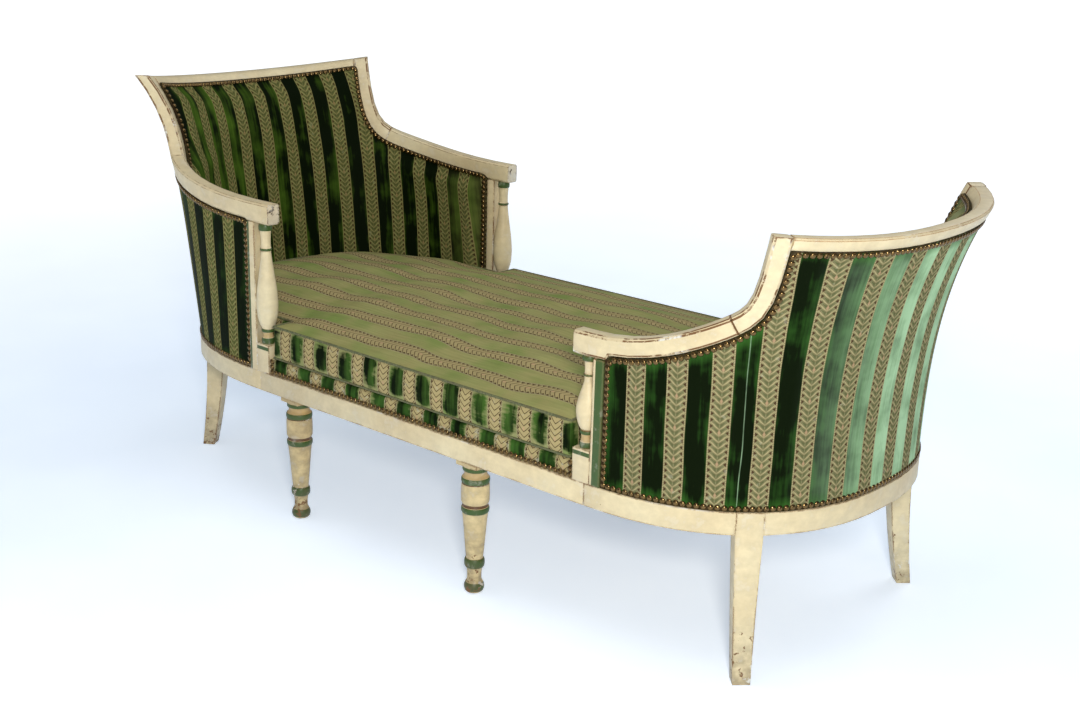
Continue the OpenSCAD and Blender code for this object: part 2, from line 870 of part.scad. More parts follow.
// Half-outline of the seat at one end, from the back corner to the front corner
function seat_outline(e, edge, inside) = let (
    p = [for (t = [outline_from : -outline_step : -outline_from]) wall(e, t, 0, -inside)])
  concat([[-notch, half_w - edge], [-notch, half_w - inside]], [for (q = p) [q.x, q.y]],
    [[-notch, inside - half_w], [-notch, edge - half_w]]);
function seat_loop(edge, inside) = concat(
  [for (q = seat_outline(FOOT, edge, inside)) [shift_x + half_bay + q.x, q.y]],
  [for (q = seat_outline(HEAD, edge, inside)) [shift_x - half_bay - q.x, -q.y]]);

module seat_webbing() {
  in = arm_t + soft_gap;
  inner_w = half_w - in;
  short_w = half_w - cover_in - band_t - soft_gap;
  span = bay_l - plinth_w - 2 * web_w;
  across = floor(span / web_pitch);
  along = floor((inner_w - web_w) / web_pitch);
  color(jute) {
    for (e = [HEAD, FOOT]) {
      at_end(e) {
        for (p = [web_pitch / 2 : web_pitch : bow[e] - in - web_w]) {
          y = inner_w * pow(1 - pow((p + web_w - bow_lead) / (bow[e] - in), bow_power), 1 / bow_power);
          translate([p, -y, rail_top]) {
            cube([web_w, 2 * y, web_t]);
          }
        }
      }
    }
    for (i = [0 : across]) {
      translate([shift_x - span / 2 + span * i / across - web_w / 2, -short_w, rail_top]) {
        cube([web_w, 2 * short_w, web_t]);
      }
    }
    for (i = [-along : along]) {
      y = abs(i) * web_pitch + web_w / 2;
      k = pow(1 - pow(y / inner_w, bow_power), 1 / bow_power);
      from = half_bay + bow_lead + (head_bow - in) * k;
      to = half_bay + bow_lead + (foot_bow - in) * k;
      translate([shift_x - from, i * web_pitch - web_w / 2, rail_top + web_t]) {
        cube([from + to, web_w, web_t]);
      }
    }
  }
}

module seat_deck_pad() {
  edge = cover_in + band_t + soft_gap;
  color(braid) {
    translate([0, 0, deck_z]) {
      linear_extrude(mattress_z - soft_gap - deck_z) {
        polygon(seat_loop(edge, wall_in));
      }
    }
  }
}

// Mattress

// Rows of the mattress from the bottom edge over the crown, an inset and a height each
function mattress_rows() = let (g = 2 * piping_r, h = mattress_h, z = mattress_z)
  [[g + piping_r, z], [g, z + g], [0, z + g + piping_r], [drawn_in, z + h / 2],
    [0, z + h - g - piping_r], [g, z + h - g], [g + piping_r, z + h]];

function inset_loop(loop, d, z) = [for (q = loop)
  [shift_x + (q.x - shift_x) * (1 - d / head_reach), q.y * (1 - d / half_w), z]];

module mattress() {
  loop = seat_loop(cover_in, wall_in);
  rows = mattress_rows();
  top = mattress_z + mattress_h;
  rings = concat(
    [for (r = rows) inset_loop(loop, r[0], r[1])],
    [for (s = crown_shares) [for (q = inset_loop(loop, 3 * piping_r, top))
      [shift_x + (q.x - shift_x) * s[0], q.y * s[0], top + mattress_crown * s[1]]]]);
  n = len(loop);
  last = len(rings) - 1;
  count = n * len(rings);
  sides = [for (i = [0 : last - 1], k = [0 : n - 1])
    each [[i * n + k, (i + 1) * n + (k + 1) % n, i * n + (k + 1) % n],
      [i * n + k, (i + 1) * n + k, (i + 1) * n + (k + 1) % n]]];
  under = [for (k = [0 : n - 1]) [count, k, (k + 1) % n]];
  over = [for (k = [0 : n - 1]) [count + 1, last * n + (k + 1) % n, last * n + k]];
  color(velvet) {
    polyhedron(
      points = concat([for (r = rings) each r],
        [[shift_x, 0, mattress_z], [shift_x, 0, top + mattress_crown]]),
      faces = concat(sides, under, over));
  }
}

module piping_loop(z) {
  loop = inset_loop(seat_loop(cover_in, wall_in), piping_r, z);
  n = len(loop);
  ring_loop([for (i = [0 : n - 1]) let (
      along = unit(loop[(i + 1) % n] - loop[(i + n - 1) % n]),
      out = [-along.y, along.x, 0])
    [for (k = [0 : piping_sides - 1]) let (a = 360 * k / piping_sides)
      loop[i] + out * piping_r * cos(a) + [0, 0, piping_r * sin(a)]]]);
}

module mattress_piping() {
  color(braid) {
    piping_loop(mattress_z + piping_r);
    piping_loop(mattress_z + mattress_h - piping_r);
  }
}

side_rail(FRONT);  // front_side_rail
side_rail(BACK);  // back_side_rail
curved_rail(HEAD, -90, -sabre_at[HEAD]);  // head_rail_front_curve
curved_rail(HEAD, 90, sabre_at[HEAD]);  // head_rail_back_curve
curved_rail(HEAD, sabre_at[HEAD], -sabre_at[HEAD]);  // head_end_rail
curved_rail(FOOT, -90, -sabre_at[FOOT]);  // foot_rail_front_curve
curved_rail(FOOT, 90, sabre_at[FOOT]);  // foot_rail_back_curve
curved_rail(FOOT, sabre_at[FOOT], -sabre_at[FOOT]);  // foot_end_rail
cross_stretcher(first_leg_at + stretcher_at);  // head_cross_stretcher
cross_stretcher(second_leg_at - stretcher_at);  // foot_cross_stretcher
rail_dowels();
turned_leg(first_leg_at, FRONT);  // turned_leg_front_head
turned_leg(second_leg_at, FRONT);  // turned_leg_front_foot
turned_leg(first_leg_at, BACK);  // turned_leg_back_head
turned_leg(second_leg_at, BACK);  // turned_leg_back_foot
sabre_leg(HEAD, FRONT);  // sabre_leg_front_head
sabre_leg(HEAD, BACK);  // sabre_leg_back_head
sabre_leg(FOOT, FRONT);  // sabre_leg_front_foot
sabre_leg(FOOT, BACK);  // sabre_leg_back_foot
plinth(HEAD, FRONT);  // plinth_front_head
plinth(HEAD, BACK);  // plinth_back_head
plinth(FOOT, FRONT);  // plinth_front_foot
plinth(FOOT, BACK);  // plinth_back_foot
post(HEAD, FRONT);  // post_front_head
post(HEAD, BACK);  // post_back_head
post(FOOT, FRONT);  // post_front_foot
post(FOOT, BACK);  // post_back_foot
baluster(HEAD, FRONT);  // baluster_front_head
baluster(HEAD, BACK);  // baluster_back_head
baluster(FOOT, FRONT);  // baluster_front_foot
baluster(FOOT, BACK);  // baluster_back_foot
arm(HEAD, FRONT);  // arm_front_head
arm(HEAD, BACK);  // arm_back_head
arm(FOOT, FRONT);  // arm_front_foot
arm(FOOT, BACK);  // arm_back_foot
stile(HEAD, FRONT);  // stile_front_head
stile(HEAD, BACK);  // stile_back_head
stile(FOOT, FRONT);  // stile_front_foot
stile(FOOT, BACK);  // stile_back_foot
crest(HEAD);  // head_crest_rail
crest(FOOT);  // foot_crest_rail
upright(HEAD, FRONT);  // upright_front_head
upright(HEAD, BACK);  // upright_back_head
upright(FOOT, FRONT);  // upright_front_foot
upright(FOOT, BACK);  // upright_back_foot
seat_webbing();
seat_deck_pad();
seat_band(FRONT);  // seat_band_front
seat_band(BACK);  // seat_band_back
outer_cover(HEAD);  // head_outer_cover
outer_cover(FOOT);  // foot_outer_cover
inner_pad(HEAD);  // head_inner_pad
inner_pad(FOOT);  // foot_inner_pad
nail_rows(HEAD);  // head_nail_rows
nail_rows(FOOT);  // foot_nail_rows
seat_nail_rows();
mattress();
mattress_piping();
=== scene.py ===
# Painted recamier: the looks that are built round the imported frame
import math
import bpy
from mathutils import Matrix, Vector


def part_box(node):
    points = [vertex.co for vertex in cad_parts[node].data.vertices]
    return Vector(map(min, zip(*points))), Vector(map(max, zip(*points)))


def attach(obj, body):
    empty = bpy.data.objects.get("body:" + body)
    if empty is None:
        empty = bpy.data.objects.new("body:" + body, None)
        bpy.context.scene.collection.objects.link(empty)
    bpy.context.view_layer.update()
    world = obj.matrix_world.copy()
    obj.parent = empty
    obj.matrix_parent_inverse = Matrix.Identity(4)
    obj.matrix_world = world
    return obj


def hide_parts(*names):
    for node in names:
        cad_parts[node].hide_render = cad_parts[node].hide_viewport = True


bl_info = {
    "name": "Painted recamier",
    "version": (1, 0, 0),
    "blender": (4, 5, 0),
    "location": "3D View > Sidebar > Recamier",
    "description": "Builds the painted wood, striped velvet, nails and stage of a recamier",
    "category": "Object",
}

import bpy
import numpy as np
from bpy.props import FloatProperty, FloatVectorProperty, PointerProperty
from mathutils import Matrix, Vector

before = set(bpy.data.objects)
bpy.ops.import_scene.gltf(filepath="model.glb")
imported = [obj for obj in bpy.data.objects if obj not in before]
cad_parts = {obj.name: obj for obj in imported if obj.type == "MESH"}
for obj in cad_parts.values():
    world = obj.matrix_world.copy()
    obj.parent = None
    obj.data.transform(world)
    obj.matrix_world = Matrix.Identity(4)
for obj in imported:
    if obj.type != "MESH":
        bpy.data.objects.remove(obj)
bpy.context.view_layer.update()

# Measures in metres and degrees, read from the frame where it holds them

RAIL_LOW, RAIL_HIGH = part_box("front_side_rail")
RAIL_TOP = RAIL_HIGH.z
RAIL_BOTTOM = RAIL_LOW.z
HALF_W = -RAIL_LOW.y

# The bow of an end in plan: a straight lead, then a squared ellipse
BOW_LEAD = 0.010
LEAD_STEP = 0.005
BOW_POWER = 2.32
CURVE = 2 / BOW_POWER
NORMAL = CURVE * (BOW_POWER - 1)

# The angles over which the flare of an end fades out towards its posts
FADE_FROM = 92.0
FADE_OVER = 46.0

# Arms, crests and posts
SPREAD = 2.2
BLOCK_H = 0.044
ARM_T = 0.032
ARM_FRONT = 0.028
CREST_H = 0.024
ARRIS = 0.004
POST_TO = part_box("post_front_foot")[1].x - sum(c.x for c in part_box("baluster_front_foot")) / 2

# Covers, pads and nails
SOFT_GAP = 0.0003
COVER_IN = 0.004
COVER_EDGE = 2 * SOFT_GAP
CLOTH_T = 0.0016
PAD_NEAR = -ARM_T - 3 * SOFT_GAP
PAD_FACE = PAD_NEAR - 0.005
PAD_CROWN = 0.022
PAD_LAP = 0.010
PAD_MARGIN = 0.022
PAD_RISE = 0.036
PAD_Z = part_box("head_inner_pad")[0].z
NAIL_IN = 0.0063
BAND_LOW, BAND_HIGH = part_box("seat_band_front")
BAND_NAIL_IN = 0.0062
BAND_NAIL_UP = 0.0119

# Mattress and its piping
MATTRESS_LOW, MATTRESS_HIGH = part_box("mattress")
MATTRESS_H = 0.074
MATTRESS_CROWN = MATTRESS_HIGH.z - MATTRESS_LOW.z - MATTRESS_H
WALL_IN = PAD_CROWN + 2 * SOFT_GAP - PAD_FACE
NOTCH = ARM_FRONT + 4 * SOFT_GAP
PIPING_R = 0.0026
PIPING_STEP = 0.006

# The share of a cushion's crown that it has at each distance from its edge
CROWN_FROM_EDGE = (0, 0.012, 0.039, 0.097, 0.175, 0.272, 0.388)
CROWN_SHARE = (0, 0.10, 0.34, 0.64, 0.86, 0.97, 1)


def smooth(v):
    k = np.clip(v, 0, 1)
    return k * k * (3 - 2 * k)


def lengths(points):
    """Length along a line of points, up to each of them."""
    return np.concatenate([[0], np.cumsum(np.linalg.norm(np.diff(points, axis=0), axis=1))])


def unit(v):
    return v / np.linalg.norm(v, axis=-1, keepdims=True)


def directions(p):
    """Directions along a closed line of points, from the neighbours of each."""
    return np.roll(p, -1, 0) - np.roll(p, 1, 0)


class TubEnd:
    """The curved wall of one end, as the CAD draws it: t is the angle round it, z the height."""

    def __init__(self, name, side, **shape):
        self.name = name
        self.side = side
        vars(self).update(shape)
        low_corner, high_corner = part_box("baluster_front_" + name)
        self.axis = (low_corner.x + high_corner.x) / 2
        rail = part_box(name + "_end_rail")
        reach = rail[1].x if side > 0 else -rail[0].x
        self.bow = reach - side * self.axis - BOW_LEAD
        self.crest_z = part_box("stile_front_" + name)[1].z
        self.arm_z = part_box("post_front_" + name)[1].z + BLOCK_H

    def flare(self, t, z):
        """How far the wall leans outwards."""
        h = np.maximum(0, z - RAIL_TOP) / (self.crest_z - RAIL_TOP)
        lean = self.low * h + (1 - self.low) * h ** self.power
        return self.out * smooth((FADE_FROM - np.abs(t)) / FADE_OVER) * lean

    def wall(self, t, z, off=0.0):
        """Points of the wall, moved outwards by off."""
        t, z, off = np.broadcast_arrays(*(np.asarray(v, float) for v in (t, z, off)))
        a, s = np.abs(t), np.sign(t)
        r = np.radians(np.minimum(a, 90.0))
        c, d = np.clip(np.cos(r), 0, 1), np.clip(np.sin(r), 0, 1)
        straight = a >= 90
        p = np.where(straight, BOW_LEAD - (a - 90) * LEAD_STEP, BOW_LEAD + self.bow * c ** CURVE)
        y = s * HALF_W * np.where(straight, 1.0, d ** CURVE)
        nx = np.where(straight, 0.0, c ** NORMAL / self.bow)
        ny = np.where(straight, s / HALF_W, s * d ** NORMAL / HALF_W)
        n = np.hypot(nx, ny)
        k = self.flare(t, z) + off
        return np.stack([self.axis + self.side * (p + nx / n * k), y + ny / n * k, z], -1)

    def outward(self, t, z):
        """The direction square to the wall, away from the seat."""
        a = self.wall(t + 0.2, z) - self.wall(t - 0.2, z)
        b = self.wall(t, z + 0.002) - self.wall(t, z - 0.002)
        n = unit(np.cross(a, b))
        flip = np.where(n[..., 0] * self.side + n[..., 1] * np.sign(t) < 0, -1.0, 1.0)
        return n * flip[..., None]

    def run(self, t, z):
        """Length of wall for one degree."""
        return np.linalg.norm(self.wall(t + 0.5, z) - self.wall(t - 0.5, z), axis=-1)

    def angle_at(self, p):
        return math.degrees(math.acos(((p - BOW_LEAD) / self.bow) ** (1 / CURVE)))

    def arm_top(self, t):
        w = (90 - np.minimum(np.abs(t), 90)) / (90 - self.corner)
        above = self.crest_z - self.arm_z - self.rise
        return self.arm_z + self.rise * w ** self.rise_power + above * w ** self.sweep

    def crest_top(self, t):
        return self.crest_z - self.dip * (1 - (np.asarray(t) / self.corner) ** 2)

    def border(self, more):
        """The panel's edge under the arms and crest, from the back post round to the front one."""
        first = self.angle_at(POST_TO)
        v = np.linspace(1 / 60, 1, 60)
        t = np.concatenate([[first, self.angle_at(POST_TO + ARRIS)],
                            first - (first - self.corner) * (1 - (1 - v) ** SPREAD)])
        t = np.delete(t, 2) if t[2] >= t[1] else t
        path = np.stack([t, self.arm_top(t)], 1)
        i = np.arange(len(path))
        a, b = path[np.maximum(i - 1, 0)], path[np.minimum(i + 1, len(path) - 1)]
        s = self.run(path[:, 0], path[:, 1])
        dt, dz = (b[:, 0] - a[:, 0]) * s, b[:, 1] - a[:, 1]
        n = np.hypot(dt, dz)
        d = self.arm_h + more
        side = np.stack([path[:, 0] - dz / n * d / s, path[:, 1] + dt / n * d], 1)[1:]
        near = self.angle_at(POST_TO + SOFT_GAP)
        side = side[side[:, 0] < near - 0.05]
        side[:, 1] = np.minimum(side[:, 1], self.crest_top(side[:, 0]) - CREST_H - more)
        corner = [[near, self.arm_top(near) - BLOCK_H - more]]
        t = side[-1, 0] * (1 - np.linspace(1 / 30, 1, 30))
        crest = np.stack([t, self.crest_top(t) - CREST_H - more], 1)
        right = np.vstack([corner, side, crest])
        return np.vstack([right, right[:-1][::-1] * [-1, 1]])

    def grid(self, more, z0, columns, rows):
        """Angles and heights of a net over the panel, even along its foot and along its edge."""
        edge = self.border(more)
        length = lengths(self.wall(edge[:, 0], edge[:, 1]))
        k = np.linspace(0, 1, columns)
        top_t, top_z = (np.interp(k * length[-1], length, edge[:, axis]) for axis in (0, 1))
        foot_t = np.linspace(edge[0, 0], edge[-1, 0], 400)
        along = lengths(self.wall(foot_t, z0))
        low_t = np.interp(k * along[-1], along, foot_t)
        share = np.linspace(0, 1, rows)
        return low_t[:, None] + (top_t - low_t)[:, None] * share, z0 + (top_z - z0)[:, None] * share

    def outline(self, more, z0, off):
        """Points all round the edge of a panel."""
        edge = self.border(more)
        posts = edge[[0, -1], 0]
        sides = [self.wall(np.full(60, q), np.linspace(z0, edge[0, 1], 60), off) for q in posts]
        foot = self.wall(np.linspace(*posts, 240), z0, off)
        return np.vstack([self.wall(edge[:, 0], edge[:, 1], off), foot, *sides])

    def across(self, t):
        """Length of wall from the front post to the angle t, which the stripes are measured by."""
        angles = np.linspace(-100, 100, 1601)
        length = lengths(self.wall(angles, RAIL_TOP))
        return np.interp(t, angles, length) - np.interp(-self.angle_at(POST_TO), angles, length)

    def straight(self, t, z):
        """Length of wall from the front post, measured at each height from the middle, as stripes hang."""
        steps = (np.arange(24) + 0.5) / 24
        return self.across(0.0) + t * np.mean([self.run(t * k, z) for k in steps], axis=0)

    def height(self, t, z):
        """Length of wall above the rail, which the chevrons are measured by."""
        return (z - RAIL_TOP) + 0.5 * self.flare(t, z) ** 2 / np.maximum(z - RAIL_TOP, 0.05)


HEAD = TubEnd("head", -1, out=0.132, rise=0.070, rise_power=2, sweep=22, arm_h=0.040, dip=0.027,
              corner=40, low=0.45, power=6)
FOOT = TubEnd("foot", 1, out=0.090, rise=0.104, rise_power=1.8, sweep=34, arm_h=0.035, dip=0.012,
              corner=47, low=0.05, power=2.9)
ENDS = (HEAD, FOOT)
SIDES = {"front": -1, "back": 1}


# Settings shown in the sidebar

def srgb(r, g, b):
    """A colour given as it looks on screen, from 0 to 255, as Blender's shaders take it."""
    def lin(v):
        v /= 255
        return v / 12.92 if v <= 0.04045 else ((v + 0.055) / 1.055) ** 2.4
    return lin(r), lin(g), lin(b)


def colour(name, description, *rgb):
    return FloatVectorProperty(name=name, description=description, subtype="COLOR", size=3,
                               min=0, max=1, default=srgb(*rgb))


def measure(name, description, default, low, high):
    return FloatProperty(name=name, description=description, default=default, min=low, max=high, unit="LENGTH")


class PaintSettings(bpy.types.PropertyGroup):
    cream: colour("Cream", "Colour of the old cream paint", 217, 204, 168)
    green: colour("Green", "Colour of the green rings and lines", 50, 82, 34)
    bare: colour("Bare wood", "Colour of the wood where the paint has chipped", 112, 80, 48)
    # The hollows of the turning are painted this darker ochre as painted shade
    hollow_shade: colour("Ochre", "Colour of the shaded hollows of the turning", 190, 166, 118)
    chips: FloatProperty(name="Chips", description="How much of the edges has lost its paint",
                         default=0.5, min=0, max=1, subtype="FACTOR")
    ease: measure("Eased edge", "Rounding of the wooden edges", 0.0016, 0.0003, 0.004)
    line: measure("Green line", "Width of the painted line on a flat post", 0.009, 0.003, 0.015)


class FabricSettings(bpy.types.PropertyGroup):
    velvet: colour("Velvet", "Darkest colour of the velvet stripes", 9, 19, 3)
    pile: colour("Pile", "Colour of the velvet where its pile catches the light", 50, 82, 30)
    mint: colour("Mint", "Colour of the velvet where its pile is rubbed", 162, 196, 156)
    olive: colour("Olive", "Colour of the worn stripes on top of the mattress", 148, 147, 95)
    ground: colour("Braid ground", "Ground colour of the braid", 148, 141, 102)
    cord: colour("Braid cord", "Colour of the beaded cords along the braid", 172, 162, 120)
    leaf: colour("Braid leaf", "Colour of the leaves woven into the braid", 96, 106, 74)
    tick: colour("Braid tick", "Colour of the small brown ticks of the braid", 62, 38, 26)
    repeat: measure("Stripe repeat", "Width of one braid and one velvet stripe", 0.077, 0.05, 0.12)
    braid: measure("Braid width", "Width of a braid stripe", 0.037, 0.02, 0.06)
    chevron: measure("Chevron pitch", "Spacing of the leaves along a braid", 0.0117, 0.006, 0.03)


class NailSettings(bpy.types.PropertyGroup):
    width: measure("Nail width", "Width of a nail head", 0.0118, 0.008, 0.014)
    height: measure("Nail height", "Height of a nail head", 0.0036, 0.002, 0.005)
    pitch: measure("Nail pitch", "Spacing of the nails along a row", 0.0122, 0.010, 0.02)
    bronze: colour("Bronze", "Colour of the nail heads", 112, 90, 56)


class StageSettings(bpy.types.PropertyGroup):
    floor: colour("Floor", "Colour of the plain floor", 238, 242, 248)
    lens: FloatProperty(name="Lens", description="Focal length on a 36 mm sensor",
                        default=50.43, min=20, max=120)
    key: FloatProperty(name="Key light", description="Power of the large light beside the camera",
                       default=76, min=0, max=1000, subtype="POWER")


class RecamierSettings(bpy.types.PropertyGroup):
    paint: PointerProperty(type=PaintSettings)
    fabric: PointerProperty(type=FabricSettings)
    nails: PointerProperty(type=NailSettings)
    stage: PointerProperty(type=StageSettings)


# Small tools of the bench

def set_all(thing, values):
    for key, value in values.items():
        setattr(thing, key, value)


def clear_selection():
    if bpy.context.object and bpy.context.object.mode != "OBJECT":
        bpy.ops.object.mode_set(mode="OBJECT")
    bpy.ops.object.select_all(action="DESELECT")


def take(*pieces):
    """Selects pieces and nothing else, and makes the first one active."""
    clear_selection()
    for piece in pieces:
        piece.select_set(True)
    bpy.context.view_layer.objects.active = pieces[0]


def edit(piece, kind="FACE"):
    """Opens a piece in edit mode with all of it selected."""
    take(piece)
    bpy.ops.object.mode_set(mode="EDIT")
    bpy.ops.mesh.select_mode(type=kind)
    bpy.ops.mesh.select_all(action="SELECT")


def leave(outward=False):
    """Closes edit mode. With outward, all faces are turned outwards first."""
    if outward:
        bpy.ops.mesh.select_all(action="SELECT")
        bpy.ops.mesh.normals_make_consistent(inside=False)
    bpy.ops.object.mode_set(mode="OBJECT")


def settle():
    """Puts the place, turn and size of what is selected into its mesh."""
    bpy.ops.object.transform_apply(location=True, rotation=True, scale=True)


def soften(piece, angle=None):
    """Shades a piece smooth, all over or where its faces meet at less than the angle."""
    take(piece)
    if angle:
        bpy.ops.object.shade_smooth_by_angle(angle=math.radians(angle))
    else:
        bpy.ops.object.shade_smooth()


def joined(*pieces):
    """Makes pieces one, and keeps the first one's name."""
    take(*pieces)
    bpy.ops.object.join()
    return pieces[0]


def apply_modifier(piece, kind, **settings):
    take(piece)
    m = piece.modifiers.new(kind.title(), kind)
    set_all(m, settings)
    bpy.ops.object.modifier_apply(modifier=m.name)


def new_object(name, data):
    piece = bpy.data.objects.new(name, data)
    bpy.context.scene.collection.objects.link(piece)
    return piece


def new_mesh(name, points, faces, uvs=None):
    mesh = bpy.data.meshes.new(name)
    mesh.from_pydata([tuple(p) for p in points], [], [tuple(f) for f in faces])
    if uvs is not None:
        corner = np.empty(len(mesh.loops), int)
        mesh.loops.foreach_get("vertex_index", corner)
        mesh.uv_layers.new(name="Cloth").data.foreach_set("uv", np.asarray(uvs, float)[corner].ravel())
    return new_object(name, mesh)


def coords(piece):
    co = np.empty(len(piece.data.vertices) * 3)
    piece.data.vertices.foreach_get("co", co)
    return co.reshape(-1, 3)


def dress(piece, *finishes):
    """Gives a piece its finishes in order, and leaves each face the number that it has."""
    numbers = [f.material_index for f in piece.data.polygons]
    piece.data.materials.clear()
    for name in finishes:
        piece.data.materials.append(materials()[name])
    piece.data.polygons.foreach_set("material_index", numbers)


def finish_piece(piece, node, slot, *finishes, body="frame"):
    """Gives a piece its finishes and its body, and hides the CAD node that it stands for."""
    dress(piece, *finishes)
    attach(piece, body)
    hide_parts(node)


def paint_faces(piece, rule):
    """Gives each face the finish that rule(centre, normal) names by number. 0 leaves it as it is."""
    for face in piece.data.polygons:
        kind = rule(face.center, face.normal)
        if kind:
            face.material_index = kind


# Shader tools

class Value:
    """What a node puts out, with the sums that a shader is written in."""

    def __init__(self, bench, socket):
        self.bench = bench
        self.socket = socket

    def do(self, operation, *others, clamp=False):
        values = dict(enumerate((self, *others)))
        return self.bench.out("ShaderNodeMath", values, operation=operation, use_clamp=clamp)

    def __add__(self, other):
        return self.do("ADD", other)

    def __sub__(self, other):
        return self.do("SUBTRACT", other)

    def __rsub__(self, other):
        return self.bench.out("ShaderNodeMath", {0: other, 1: self}, operation="SUBTRACT")

    def __mul__(self, other):
        return self.do("MULTIPLY", other)

    def __abs__(self):
        return self.do("ABSOLUTE")

    def scaled(self, factor, plus, clamp=False):
        return self.do("MULTIPLY_ADD", factor, plus, clamp=clamp)

    def wrap(self, period):
        return self.do("WRAP", period, 0.0)

    def wave(self, pitch):
        """A sine wave that repeats at each pitch."""
        return (self * (2 * math.pi / pitch)).do("SINE")

    def under(self, limit, soft):
        """1 where the value is under the limit, 0 over it, with an edge of width soft."""
        return (limit - self).scaled(1 / soft, 0.5, clamp=True)

    def over(self, limit, soft):
        return (self - limit).scaled(1 / soft, 0.5, clamp=True)

    def range(self, low, high, to_low=0.0, to_high=1.0):
        return self.bench.out("ShaderNodeMapRange", {
            "Value": self, "From Min": low, "From Max": high, "To Min": to_low, "To Max": to_high}, "Result")


class Bench:
    """Adds nodes to one tree and joins them."""

    def __init__(self, tree):
        self.tree = tree

    def node(self, kind, inputs=None, **settings):
        n = self.tree.nodes.new(kind)
        set_all(n, settings)
        for key, value in (inputs or {}).items():
            self.put(n.inputs[key], value)
        return n

    def out(self, kind, inputs=None, output=0, **settings):
        return Value(self, self.node(kind, inputs, **settings).outputs[output])

    def put(self, socket, value):
        if isinstance(value, Value):
            self.tree.links.new(value.socket, socket)
        else:
            socket.default_value = (*value, 1) if socket.type == "RGBA" else value

    def place(self):
        return self.out("ShaderNodeTexCoord", output="Object")

    def split(self, place):
        return [Value(self, s) for s in self.node("ShaderNodeSeparateXYZ", {"Vector": place}).outputs]

    def mix(self, factor, a, b, blend="MIX"):
        return self.out("ShaderNodeMix", {0: factor, 6: a, 7: b}, 2, data_type="RGBA", blend_type=blend)

    def noise(self, place, scale, detail=3.0, roughness=0.5, distortion=0.0):
        """Cloudy noise. Three numbers for a scale stretch it."""
        if isinstance(scale, tuple):
            place, scale = self.out("ShaderNodeMapping", {"Vector": place, "Scale": scale}), 1.0
        return self.out("ShaderNodeTexNoise", {"Vector": place, "Scale": scale, "Detail": detail,
                                               "Roughness": roughness, "Distortion": distortion})


class Finish(Bench):
    """The bench of one material."""

    def __init__(self, name):
        self.material = bpy.data.materials.new(name)
        self.material.use_nodes = True
        super().__init__(self.material.node_tree)
        self.shader = self.tree.nodes["Principled BSDF"]

    def group(self, group, values):
        inputs = {key.replace("_", " "): value for key, value in values.items()}
        n = self.node("ShaderNodeGroup", inputs, node_tree=group)
        return {s.name: Value(self, s) for s in n.outputs}

    def shade(self, colour, roughness, height, distance, strength, **same):
        """Joins colour, roughness and relief to the shader, and sets what is the same all over."""
        bump = self.out("ShaderNodeBump", {"Height": height, "Distance": distance, "Strength": strength})
        for key, value in dict(same, Base_Color=colour, Roughness=roughness, Normal=bump).items():
            self.put(self.shader.inputs[key.replace("_", " ")], value)
        return self.material


def new_group(name, inputs, outputs):
    """An empty shader node group. In inputs, None stands for a place and three numbers for a colour."""
    group = bpy.data.node_groups.new(name, "ShaderNodeTree")

    def socket(label, way, kind):
        return group.interface.new_socket(name=label, in_out=way, socket_type="NodeSocket" + kind)

    for label, value in inputs.items():
        if value is None:
            socket(label, "INPUT", "Vector")
        elif isinstance(value, float):
            socket(label, "INPUT", "Float").default_value = value
        else:
            socket(label, "INPUT", "Color").default_value = (*value, 1)
    for label in outputs:
        socket(label, "OUTPUT", "Color" if label == "Colour" else "Float")
    b = Bench(group)
    way_in, way_out = b.node("NodeGroupInput"), b.node("NodeGroupOutput")
    return group, b, {s.name: Value(b, s) for s in way_in.outputs}, way_out.inputs


